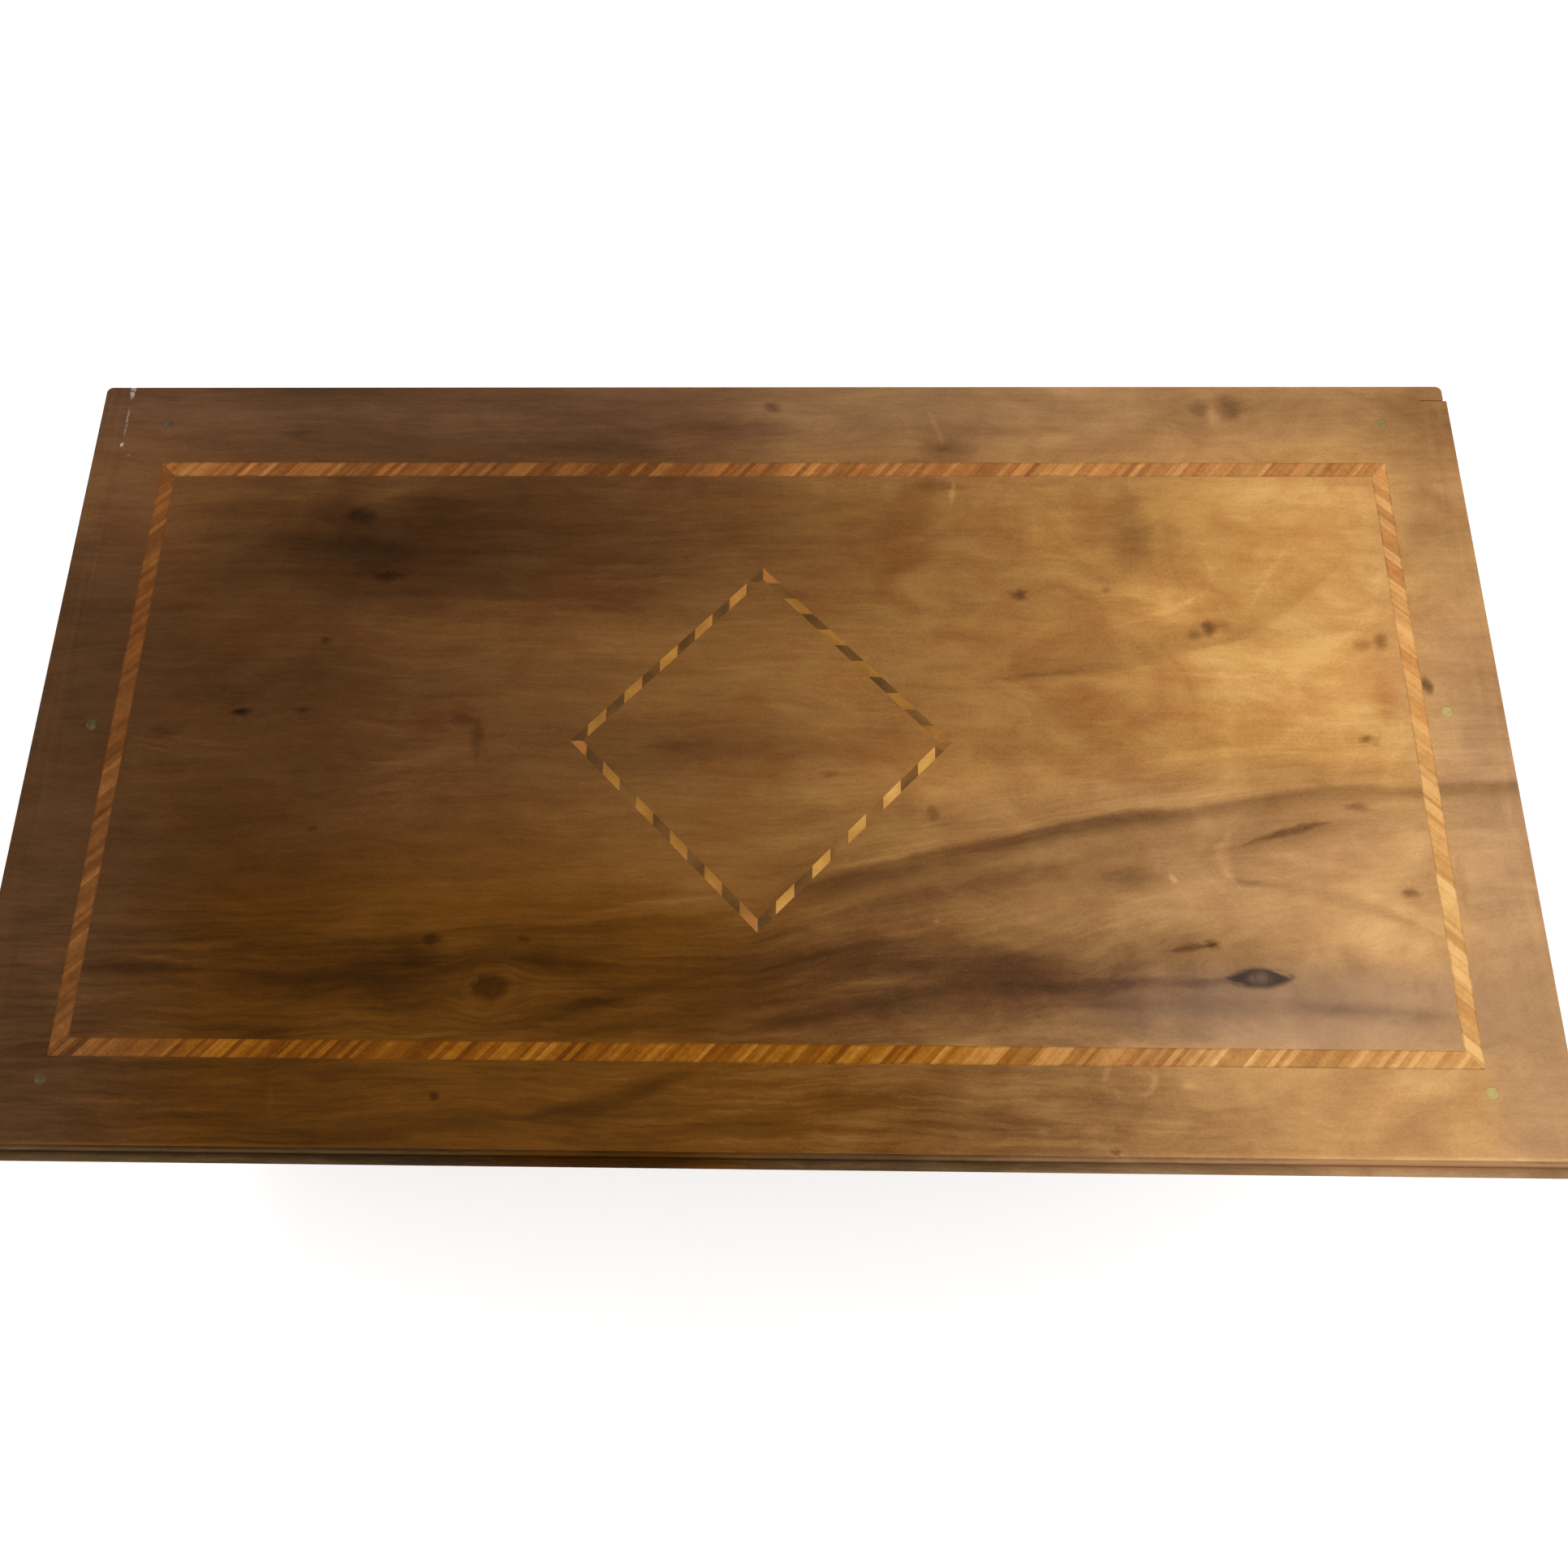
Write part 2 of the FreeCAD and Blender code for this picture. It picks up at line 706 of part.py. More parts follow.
def measure(text):
    """The present value of a formula."""
    gauge = doc.getObject("Gauge") or doc.addObject("App::VarSet", "Gauge")
    if "reading" not in gauge.PropertiesList:
        gauge.addProperty("App::PropertyFloat", "reading", "Gauge")
    bind(gauge, "reading", text)
    gauge.recompute()
    return gauge.reading


def make_feet():
    """Three glued feet, and the key foot, which turns."""
    fixed = {
        "foot_front_right": ("foot_half", "key_front"),
        "foot_back_left": ("-foot_half", "key_back"),
        "foot_back_right": ("foot_half", "key_back"),
    }
    feet = [keep(label, turned_foot(label, x, y, "foot_height", True)) for label, (x, y) in fixed.items()]
    blank = turned_foot("key_foot_blank", "-foot_half", "key_front", "foot_height - key_foot_gap", False)
    return feet, blank


def make_key(foot_blank):
    """The key foot's shaft and cam, and the bush that its shaft turns in."""
    x, y = "-foot_half", "key_front"
    low = "key_foot_sole"
    shaft = keep("key_shaft", cylinder("shaft", "shaft_radius", f"cam_top - ({low})", (x, y, low)))
    keep("key_foot", cut("key_foot_bored", foot_blank, shaft))
    hub_low = "base_top + key_foot_gap"
    hub = cylinder("cam_hub", "cam_hub_radius", f"cam_top - ({hub_low})", (x, y, hub_low))
    arm = box(
        "cam_arm", ("cam_reach", "cam_width", "cam_height"), (x, f"{y} - cam_width / 2", "cam_bottom")
    )
    keep("key_cam", cut("cam_bored", fuse("cam", hub, arm), shaft))
    outer = cylinder("bush_outer", "shaft_radius + bush_wall", "base_thickness", (x, y, "foot_height"))
    bore = cylinder("bush_bore", "shaft_radius + running_clearance", "base_thickness", (x, y, "foot_height"))
    keep("key_shaft_bush", cut("bush", outer, bore))
    return outer


def plinth_run(name, side, face, span, back):
    """One side of the plinth with its coved top edge, not yet mitred."""
    rise = ("foot_height", "plinth_top")
    bar = strip(f"{name}_bar", side, face, span, (back, "plinth_thickness"), rise)
    hollow = rod(f"{name}_hollow", side, face, span, "plinth_thickness", "plinth_top", "plinth_cove")
    return cut(f"{name}_coved", bar, hollow)


def make_plinth():
    """Three fixed plinth strips; gives the right-hand one, which fronts the drawer."""
    rise = ("foot_height", "plinth_top")
    across = ("-case_half - plinth_thickness", "case_half + plinth_thickness")
    along = ("case_front - plinth_thickness", "case_back + plinth_thickness")
    rooms = {}
    for side, face in (("front", "case_front"), ("back", "case_back")):
        for gap in ("0", "drawer_seat"):
            name = f"{side}_plinth_room_{gap}"
            rooms[side, gap] = mitre_block(name, side, face, "plinth_thickness", "0", "case_half", gap, rise)
        run = plinth_run(f"plinth_{side}", side, face, across, "0")
        keep(f"plinth_{side}", common(f"{side}_plinth", run, rooms[side, "0"]))
    left = plinth_run("plinth_left", "left", "-case_half", along, "0")
    keep("plinth_left", cut("left_plinth", left, rooms["front", "0"], rooms["back", "0"]))
    right = plinth_run("drawer_front", "right", "case_half", along, "drawer_seat")
    gap_rooms = [rooms[side, "drawer_seat"] for side in ("front", "back")]
    return cut("drawer_front_mitred", right, *gap_rooms)


def make_drawer(front_blank):
    """The secret drawer: sides and bottom housed in its front, and a notch for the key's cam."""
    end, tenon = "drawer_end", "drawer_face + drawer_tenon"
    bottom_low = "drawer_base + tray_bottom_rise"
    bottom_high = f"{bottom_low} + tray_bottom"
    tongue = "drawer_wall - tray_tongue"
    near, far = f"drawer_near + {tongue}", f"drawer_far - ({tongue})"
    bottom = between("drawer_floor", (end, near, bottom_low), (tenon, far, bottom_high))
    back = between("drawer_tail", (end, near, bottom_high), (f"{end} + drawer_wall", far, "drawer_top"))
    near_side = between(
        "near_side", (end, "drawer_near", "drawer_base"), (tenon, "drawer_near + drawer_wall", "drawer_top")
    )
    far_side = between(
        "far_side", (end, "drawer_far - drawer_wall", "drawer_base"), (tenon, "drawer_far", "drawer_top")
    )
    notch = between(
        "cam_notch",
        ("-foot_half - cam_width / 2 - cam_play", "drawer_near", "cam_bottom - cam_play"),
        ("-foot_half + cam_sweep + cam_play", "drawer_near + drawer_wall", "drawer_top"),
    )
    keep("drawer_front", cut("drawer_front_mortised", front_blank, near_side, far_side, bottom))
    keep("drawer_side_front", cut("drawer_near", near_side, bottom, back, notch))
    keep("drawer_side_back", cut("drawer_far", far_side, bottom, back))
    keep("drawer_back", back)
    keep("drawer_bottom", bottom)


def make_drawer_guides():
    high = "base_top + guide_height"
    guides = {
        "front": ("-foot_half + cam_reach + 2 * cam_play", "inner_front", "drawer_near - drawer_gap"),
        "back": ("-inner_half", "drawer_far + drawer_gap", "inner_back"),
    }
    for side, (start, near, far) in guides.items():
        bar = between(f"{side}_guide", (start, near, "base_top"), ("case_half", far, high))
        keep(f"drawer_guide_{side}", bar)


def make_case(wall_pegs, screws, feet, bush, hinge_fittings):
    """Lapped and pegged walls round a floor, on a base board."""
    floor = between(
        "floor",
        ("-inner_half - floor_tongue", "inner_front - floor_tongue", "floor_bottom"),
        ("inner_half + floor_tongue", "inner_back + floor_tongue", "floor_top"),
    )
    keep("floor_board", floor)
    left, right = frame_ends("wall", "base_top", "parting", "drawer_mouth")
    front, back = frame_long("wall", "base_top", "parting")
    keep("left_wall", cut("left_side", left, floor, wall_pegs))
    keep("right_wall", cut("right_side", right, floor, wall_pegs))
    keep("front_wall", cut("front_side", front, left, right, floor, wall_pegs, screws))
    keep("back_wall", cut("back_side", back, left, right, floor, wall_pegs, screws, *hinge_fittings))
    base = between(
        "base_blank", ("-case_half", "case_front", "foot_height"), ("case_half", "case_back", "base_top")
    )
    keep("base_board", cut("base", base, screws, bush, *feet))


def make_till():
    """A till that slides the length of the box on two ledges."""
    left, right, near, far = "till_left", "till_right", "till_near", "till_far"
    low, high = "till_base", "till_top"
    bottom_low = "till_base + tray_bottom_rise"
    tongue = "till_wall - tray_tongue"
    inner_near, inner_far = f"{near} + {tongue}", f"{far} - ({tongue})"
    bottom = between(
        "till_floor", (f"{left} + {tongue}", inner_near, bottom_low),
        (f"{right} - ({tongue})", inner_far, f"{bottom_low} + tray_bottom"),
    )
    reaches = {"left": (left, f"{left} + till_wall"), "right": (f"{right} - till_wall", right)}
    ends = {
        side: between(f"till_{side}_end", (start, inner_near, low), (stop, inner_far, high))
        for side, (start, stop) in reaches.items()
    }
    sides = {
        "front": between("till_near_side", (left, near, low), (right, f"{near} + till_wall", high)),
        "back": between("till_far_side", (left, f"{far} - till_wall", low), (right, far, high)),
    }
    keep("till_bottom", bottom)
    for side, blank in ends.items():
        keep(f"till_{side}", cut(f"till_{side}_grooved", blank, bottom))
    for side, blank in sides.items():
        keep(f"till_{side}", cut(f"till_{side}_grooved", blank, bottom, *ends.values()))
    ledges = {"front": "inner_front", "back": "inner_back - ledge_size"}
    for side, near in ledges.items():
        bar = box(
            f"{side}_ledge", ("2 * inner_half", "ledge_size", "ledge_size"),
            ("-inner_half", near, "ledge_top - ledge_size"),
        )
        keep(f"till_ledge_{side}", bar)


def check_and_write():
    """Stops on any failed object or bad solid, and only then writes the sub-parts."""
    doc.recompute()
    faults = [thing.Name for thing in doc.Objects if {"Invalid", "Error"} & set(thing.State)]
    faults += [label for label, thing in parts.items() if thing.Shape.isNull() or not thing.Shape.isValid()]
    if faults:
        raise RuntimeError(f"faulty objects: {faults}")
    os.makedirs("parts", exist_ok=True)
    for label, thing in parts.items():
        thing.Shape.exportStep(f"parts/{label}.step")
        print(f"{label}: {len(thing.Shape.Solids)} solids, {thing.Shape.Volume:.1f} mm3")


def main():
    sheet = fill_sheet()
    fill_places()
    hinge_fittings = make_hinges()
    make_lid(sheet, hinge_fittings["lid"])
    make_catch()
    make_lock_pins()
    feet, key_blank = make_feet()
    bush = make_key(key_blank)
    make_case(make_wall_pegs(), make_base_screws(), feet, bush, hinge_fittings["case"])
    make_drawer(make_plinth())
    make_drawer_guides()
    make_till()
    check_and_write()


main()
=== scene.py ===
# %% [markdown]
# # An inlaid walnut puzzle box
# The box has already been drawn in CAD, piece by piece, and packed as a frame that never moves. This
# lesson gives that frame its looks: worn edges, figured walnut, banding and inlay under an old satin
# varnish, brass and steel. Loading the frame comes first, because every piece below is shaped from it.

# %% Load the frame
import json
import math

import bmesh
import bpy
from mathutils import Matrix, Vector


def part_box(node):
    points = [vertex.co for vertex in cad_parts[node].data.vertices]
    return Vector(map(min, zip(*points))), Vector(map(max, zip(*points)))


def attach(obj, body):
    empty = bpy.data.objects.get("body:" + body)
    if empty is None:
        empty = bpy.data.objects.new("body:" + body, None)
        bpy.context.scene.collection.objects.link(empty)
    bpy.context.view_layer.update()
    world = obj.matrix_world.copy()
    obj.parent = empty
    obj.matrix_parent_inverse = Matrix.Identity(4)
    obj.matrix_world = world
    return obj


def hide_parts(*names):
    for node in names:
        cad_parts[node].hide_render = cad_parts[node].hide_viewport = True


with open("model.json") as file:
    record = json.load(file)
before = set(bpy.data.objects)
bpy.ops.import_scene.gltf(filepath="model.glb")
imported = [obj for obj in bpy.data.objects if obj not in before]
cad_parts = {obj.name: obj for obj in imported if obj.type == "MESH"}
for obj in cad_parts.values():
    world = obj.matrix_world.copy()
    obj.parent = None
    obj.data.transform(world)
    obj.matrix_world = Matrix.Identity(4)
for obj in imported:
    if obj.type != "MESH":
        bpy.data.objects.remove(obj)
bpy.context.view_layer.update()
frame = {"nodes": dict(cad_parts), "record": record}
MM = 0.001
record = frame["record"]
BODY_OF = {node: body for body, nodes in record["behaviour"]["bodies"].items() for node in nodes}

# %% [markdown]
# ## Maths for finishes
# A finish is a tree of nodes, and long sums are hard to read as nodes. One small class wraps a node's
# output, so that a sum of masks and noises is written as ordinary Python and adds its own Math nodes.
# Every other kind of node comes from one method. Colours are written as the eye sees them on the finished
# box, 0 to 255. The studio is lit until white paper shines past white, so each colour is divided by that
# light when it becomes a shader's value.

# %% Link: a node's output that can be added and multiplied
class Link:
    """One output in a finish's node tree."""

    def __init__(self, tree, socket):
        self.tree = tree
        self.socket = socket

    def node(self, kind, settings, inputs, output=0):
        """Add a node: its settings first, then a value or a link for each named input."""
        node = self.tree.nodes.new("ShaderNode" + kind)
        for name, value in settings.items():
            if name == "stops":
                set_stops(node.color_ramp, value)
            else:
                setattr(node, name, value)
        lay(node, inputs)
        return Link(self.tree, node.outputs[output])

    def math(self, operation, *terms):
        """Add a Math node."""
        return self.node("Math", {"operation": operation}, dict(enumerate(terms)))

    def __add__(self, other):
        return self.math("ADD", self, other)

    def __sub__(self, other):
        return self.math("SUBTRACT", self, other)

    def __rsub__(self, other):
        return self.math("SUBTRACT", other, self)

    def __mul__(self, other):
        return self.math("MULTIPLY", self, other)

    def __abs__(self):
        return self.math("ABSOLUTE", self)

    __radd__ = __add__
    __rmul__ = __mul__


def lay(node, inputs):
    """Set or link a node's inputs, each given by its name or number."""
    for name, value in inputs.items():
        if isinstance(value, Link):
            value.tree.links.new(value.socket, node.inputs[name])
        else:
            node.inputs[name].default_value = value


def set_stops(ramp, stops):
    """Give a colour ramp its stops, each a position and a colour."""
    while len(ramp.elements) < len(stops):
        ramp.elements.new(1.0)
    for element, (position, colour) in zip(ramp.elements, stops):
        element.position = position
        element.color = colour


print("finishes are written as sums of links")

# %% A new finish, and colours as the eye sees them
STUDIO_LIGHT = 1.3


def paint(red, green, blue):
    """A colour in the lit studio, 0 to 255, as the light values that a shader takes."""
    def light(level):
        level = level / 255
        return (level / 12.92 if level <= 0.04045 else ((level + 0.055) / 1.055) ** 2.4) / STUDIO_LIGHT
    return (light(red), light(green), light(blue), 1.0)


def new_finish(name):
    """A new material, its shader, and the place on the object in millimetres."""
    material = bpy.data.materials.new(name)
    material.use_nodes = True
    tree = material.node_tree
    metres = Link(tree, tree.nodes.new("ShaderNodeTexCoord").outputs["Object"])
    place = metres.node("VectorMath", {"operation": "SCALE"}, {0: metres, "Scale": 1 / MM})
    return material, tree.nodes["Principled BSDF"], place


print("white in the studio takes a shader value of", round(paint(255, 255, 255)[0], 2))

# %% [markdown]
# ## Words for wood
# Wood is one pattern stretched along its fibres, so a few words describe any board: noise stretched along
# the grain for streaks, short dark dashes for open pores, soft spots for clouds and knots. They read the
# place in millimetres in all three directions, so a board's end shows end grain and nothing slides when
# the box opens.

# %% Noise and steps
def axes(place):
    """The three coordinates of a place."""
    split = place.node("SeparateXYZ", {}, {0: place})
    return [Link(split.tree, output) for output in split.socket.node.outputs]


def stretched(place, per_mm):
    """A place scaled along each axis, so that noise on it is drawn out where the scale is small."""
    return place.node("VectorMath", {"operation": "MULTIPLY"}, {0: place, 1: per_mm})


def times_plus(vector, factor, term):
    """A vector times a factor plus a term, along each axis."""
    return vector.node("VectorMath", {"operation": "MULTIPLY_ADD"}, {0: vector, 1: factor, 2: term})


def noise(place, detail=2.0, roughness=0.5, twist=0.0, output=0):
    """Soft noise from 0 to 1, one blob to a unit of place. The output Color holds three noises at once."""
    inputs = {"Vector": place, "Scale": 1.0, "Detail": detail, "Roughness": roughness, "Distortion": twist}
    return place.node("TexNoise", {}, inputs, output)


def swing(value, size):
    """A noise from 0 to 1 as a swing to either side of nothing."""
    return (value - 0.5) * size


def step(value, low, high, kind="SMOOTHSTEP"):
    """0 at low, 1 at high, with a soft ramp between, or a straight one."""
    limits = {"Value": value, "From Min": low, "From Max": high}
    return value.node("MapRange", {"interpolation_type": kind}, limits)


def greater(one, other):
    """The greater of two values, such as two masks."""
    return one.math("MAXIMUM", one, other)


print("noise, swings and steps")

# %% Ellipses, lenses and veins
def offset_from(place, ellipse):
    """How far a place is from an ellipse's middle along x and y, counted in its half length and height."""
    x, y, length, height = ellipse
    return times_plus(place, (1 / length, 1 / height, 0.0), (-x / length, -y / height, 0.0))


def distance_from(place, ellipse):
    """How far a place is from an ellipse's middle, where 1 is its edge."""
    offset = offset_from(place, ellipse)
    return offset.node("VectorMath", {"operation": "LENGTH"}, {0: offset}, "Value")


def lens_from(place, lens):
    """How far a place is from a lens's middle, where 1 is its edge, with a point at each end."""
    along, across, _ = axes(offset_from(place, lens))
    return along.math("MULTIPLY_ADD", along, along, abs(across))


def vein(run, across, points, above, below):
    """A soft line through three points that reaches a little above and below and tapers to its ends."""
    (x0, y0), (x1, y1), (x2, y2) = points
    slope = (y1 - y0) / (x1 - x0)
    bend = ((y2 - y0) / (x2 - x0) - slope) / (x2 - x1)
    slope = slope - bend * (x0 + x1)
    level = y0 - slope * x0 - bend * x0 ** 2
    curve = run.math("MULTIPLY_ADD", run, run.math("MULTIPLY_ADD", run, bend, slope), level)
    off = across - curve
    off = greater(off * (1 / above), off * (-1 / below))
    along = run.math("MULTIPLY_ADD", run, 2 / (x2 - x0), -(x0 + x2) / (x2 - x0))
    return step(along.math("MULTIPLY_ADD", along, along, off), 1.0, 0.1)


print("clouds and spots are ellipses, and veins are curves through three points")

# %% Tones, colours and bumps
def blend(mask, under, over):
    """Lay one colour over another where a mask says."""
    return mask.node("Mix", {"data_type": "RGBA"}, {0: mask, 6: under, 7: over}, 2)


def ramp(value, stops):
    """The colour at a value, from a list of tones and their colours."""
    return value.node("ValToRGB", {"stops": [(at, paint(*colour)) for at, colour in stops]}, {0: value})


def bump(height, depth_mm):
    """A surface normal from a height between 0 and 1 that stands for this many millimetres."""
    return height.node("Bump", {}, {"Strength": 1.0, "Distance": depth_mm * MM, "Height": height})


WALNUT = [  # tone, and the colour at that tone
    (0.10, (26, 15, 7)), (0.20, (51, 31, 14)), (0.29, (74, 47, 23)), (0.36, (91, 59, 30)),
    (0.45, (115, 77, 40)), (0.54, (138, 96, 50)), (0.65, (166, 119, 64)), (0.80, (204, 151, 83)),
    (0.92, (234, 182, 108)),
]
print("walnut runs through", len(WALNUT), "tones")

# %% [markdown]
# ## The figured top
# The top is old walnut. Light is painted into its colour, golden at the right and shaded at the left,
# where it also has darker clouds, and a line runs where the fibres sweep up to the right. It could be
# painted by hand, but lists of broad clouds, drawn veins, spots and knots, laid over streaks along the
# fibres, keep every mark editable.
# Large knots do two things here, as in a tree: they darken their middle, and they push the fibres round
# themselves.

# %% Where the marks on the top are
CLOUDS = [  # x, y, half length, half height in millimetres, and how much lighter
    (-35, 52, 120, 38, -0.11), (-98, 50, 60, 22, -0.055), (-20, 84, 80, 22, -0.07),
    (-168, 74, 60, 46, 0.11), (150, 90, 95, 24, -0.17), (-112, 88, 44, 10, 0.06),
    (172, 56, 16, 30, -0.07), (6, 89, 26, 8, 0.06), (118, 14, 50, 16, 0.06), (150, 26, 40, 50, 0.02),
    (92, 54, 20, 26, -0.07), (-26, -4, 44, 14, -0.07), (50, -14, 48, 11, 0.08),
    (10, -60, 150, 26, -0.165), (92, -61, 72, 15, -0.125), (15, -90, 145, 22, -0.14),
    (30, -36, 36, 10, -0.08), (90, -30, 70, 18, -0.07), (140, -17, 60, 14, -0.09),
    (154, -37, 18, 9, -0.06), (150, -66, 50, 14, -0.09), (-85, -58, 50, 14, -0.05),
    (-126, -36, 40, 14, -0.01), (-130, 11, 40, 13, -0.02), (-85, 27, 55, 9, 0.02),
    (-34, 25, 28, 10, 0.06), (-98, 66, 26, 8, 0.06), (12, 77, 32, 14, 0.08), (-131, 65, 22, 7, 0.05),
    (139, -52, 14, 6, 0.05), (150, 64, 18, 7, 0.05), (98, 34, 18, 7, 0.12), (120, 18, 26, 5, 0.04),
]
VEINS = [  # three points, how far it reaches above and below, and how much lighter
    (((4, -48), (40, -39.5), (82, -30.5)), 4.0, 5.0, -0.08),
    (((18, -36), (36, -32.6), (58, -30.2)), 1.6, 2.0, 0.05),
    (((-16, -74), (40, -63.6), (110, -59.6)), 5.0, 6.0, -0.10),
    (((-14, -57), (35, -54.5), (90, -57)), 6.5, 7.0, -0.07),
    (((52, -66), (100, -65), (152, -67)), 3.2, 4.0, -0.07),
    (((114, -63), (132, -65.6), (166, -66.5)), 3.0, 4.0, -0.08),
    (((10, -60.4), (60, -59.4), (112, -57)), 1.6, 1.8, 0.04),
    (((90, -60.6), (101, -59.8), (112, -59)), 1.6, 2.0, -0.10),
    (((110, -29), (121, -25), (136, -22.8)), 1.6, 1.8, -0.19),
    (((102, -31), (120, -26.5), (148, -21.5)), 3.6, 3.8, -0.06),
    (((106, -36), (122, -38), (160, -51)), 3.0, 3.4, -0.07),
    (((113, -29), (126, -31), (144, -34.5)), 2.6, 2.6, 0.04),
    (((92, -53.2), (98, -52.6), (106, -51)), 1.2, 1.2, -0.20),
    (((-168, -57.4), (-148, -58.7), (-124, -59.8)), 2.4, 3.4, -0.08),
    (((-154, -55), (-142, -56), (-129, -58.2)), 1.2, 1.2, 0.05),
    (((-136, -60), (-105, -61.5), (-66, -61)), 5.5, 6.0, -0.06),
    (((-64, -56), (-45, -56.5), (-26, -58)), 2.4, 2.8, -0.055),
    (((-66, -50.5), (-30, -46.5), (6, -43)), 1.4, 7.0, -0.055),
    (((-44, -45.4), (-26, -42.8), (-6, -40.4)), 1.4, 1.4, 0.045),
    (((-49, -67.6), (-38, -66), (-27, -63.7)), 1.8, 2.2, -0.055),
    (((-66, -71), (-54, -69.2), (-40, -66.6)), 1.4, 1.4, 0.045),
    (((-84, -73.4), (-70, -72.6), (-56, -71.4)), 1.3, 1.3, 0.04),
    (((-78, -74.8), (-40, -66.5), (0, -55.5)), 3.0, 3.4, -0.045),
    (((-58, -75.4), (-20, -69), (20, -62.4)), 2.8, 3.2, -0.045),
    (((-121, -74.2), (-112, -73), (-102, -71.4)), 1.5, 1.5, -0.05),
    (((-124, -91), (-75, -93.5), (-34, -86.6)), 2.6, 2.6, -0.05),
    (((-58, -92.4), (-32, -86), (-8, -77.6)), 4.0, 4.4, -0.075),
    (((-46, -94.4), (-18, -89), (18, -83.6)), 3.6, 4.6, 0.04),
    (((-152, -80.4), (-134, -80.5), (-116, -81.2)), 1.8, 1.8, -0.045),
    (((54, 13), (66, 14.8), (80, 16.4)), 1.3, 1.3, -0.06),
    (((82, 26.4), (98, 31), (114, 39)), 1.6, 1.6, 0.045),
    (((91, 15), (108, 14.8), (128, 15)), 1.0, 1.3, 0.045),
    (((-62, 79), (-42, 78.5), (-22, 78)), 4.5, 4.5, -0.045),
    (((-34, 86), (-8, 84.6), (20, 83)), 4.5, 4.5, -0.035),
    (((28, 84), (55, 84.6), (84, 84)), 4.5, 4.5, -0.035),
    (((-156, 52), (-108, 50), (-74, 47)), 5.0, 6.5, -0.03),
    (((-116, 36), (-70, 35.5), (-26, 34.4)), 8.0, 2.0, -0.035),
    (((-161, -1.4), (-144, -4.6), (-122, -8.2)), 1.2, 1.2, 0.035),
    (((-160, -3.4), (-142, -6.4), (-124, -8.8)), 1.0, 1.0, 0.03),
    (((-152, -1.2), (-136, -4), (-120, -6.2)), 1.0, 1.0, 0.025),
    (((-98, -8.3), (-86, -8.5), (-75, -8.3)), 1.2, 1.2, 0.04),
    (((-38, -4.6), (-4, -4), (34, -7.4)), 5.0, 5.0, -0.05),
    (((86, -7.5), (110, -6), (138, -4.8)), 1.8, 1.8, 0.04),
    (((-160, -34), (-140, -36), (-112, -46)), 5.0, 5.0, -0.03),
]
RIPPLES = [  # the same for veins across the fibres, each point as y, x
    (((26.5, 118), (40, 126), (56, 135.6)), 1.8, 1.8, 0.03),
    (((33, 106.4), (41, 112.6), (49, 110)), 1.8, 1.8, 0.03),
    (((60, 46.2), (66, 47.8), (71, 47.6)), 1.2, 1.2, 0.10),
    (((77, 46), (85, 45), (92, 42.2)), 1.4, 1.4, 0.05),
    (((38, 90), (53, 94), (70, 92)), 7.0, 12.0, -0.07),
    (((-22, 113.5), (-30.5, 107.6), (-40, 113.5)), 2.4, 2.4, 0.06),
    (((-9.5, -69.4), (-3, -69.6), (4.5, -69.8)), 2.6, 2.6, -0.05),
    (((-91, -109.6), (-87, -109.4), (-83, -109.2)), 1.2, 1.2, 0.035),
]
PLUMES = [  # the same, as y, x, where the wood is also redder
    (((30, 27), (54, 36), (78, 43)), 11.0, 13.0, -0.05),
    (((0, 151), (8, 151), (17, 151.5)), 6.0, 6.0, -0.05),
    (((-4, 80), (6, 79), (15, 78)), 15.0, 15.0, -0.06),
    (((-44, 162.6), (-36, 162.8), (-28, 163)), 2.4, 2.4, -0.05),
]
RINGS = [  # the edges of growth rings, as veins that are dark above and light below
    (((44, 11.6), (92, 18.6), (130, 28)), 8.0, 2.6, -0.07),
    (((106, 21), (128, 31.4), (150, 50)), 8.0, 2.6, -0.055),
]
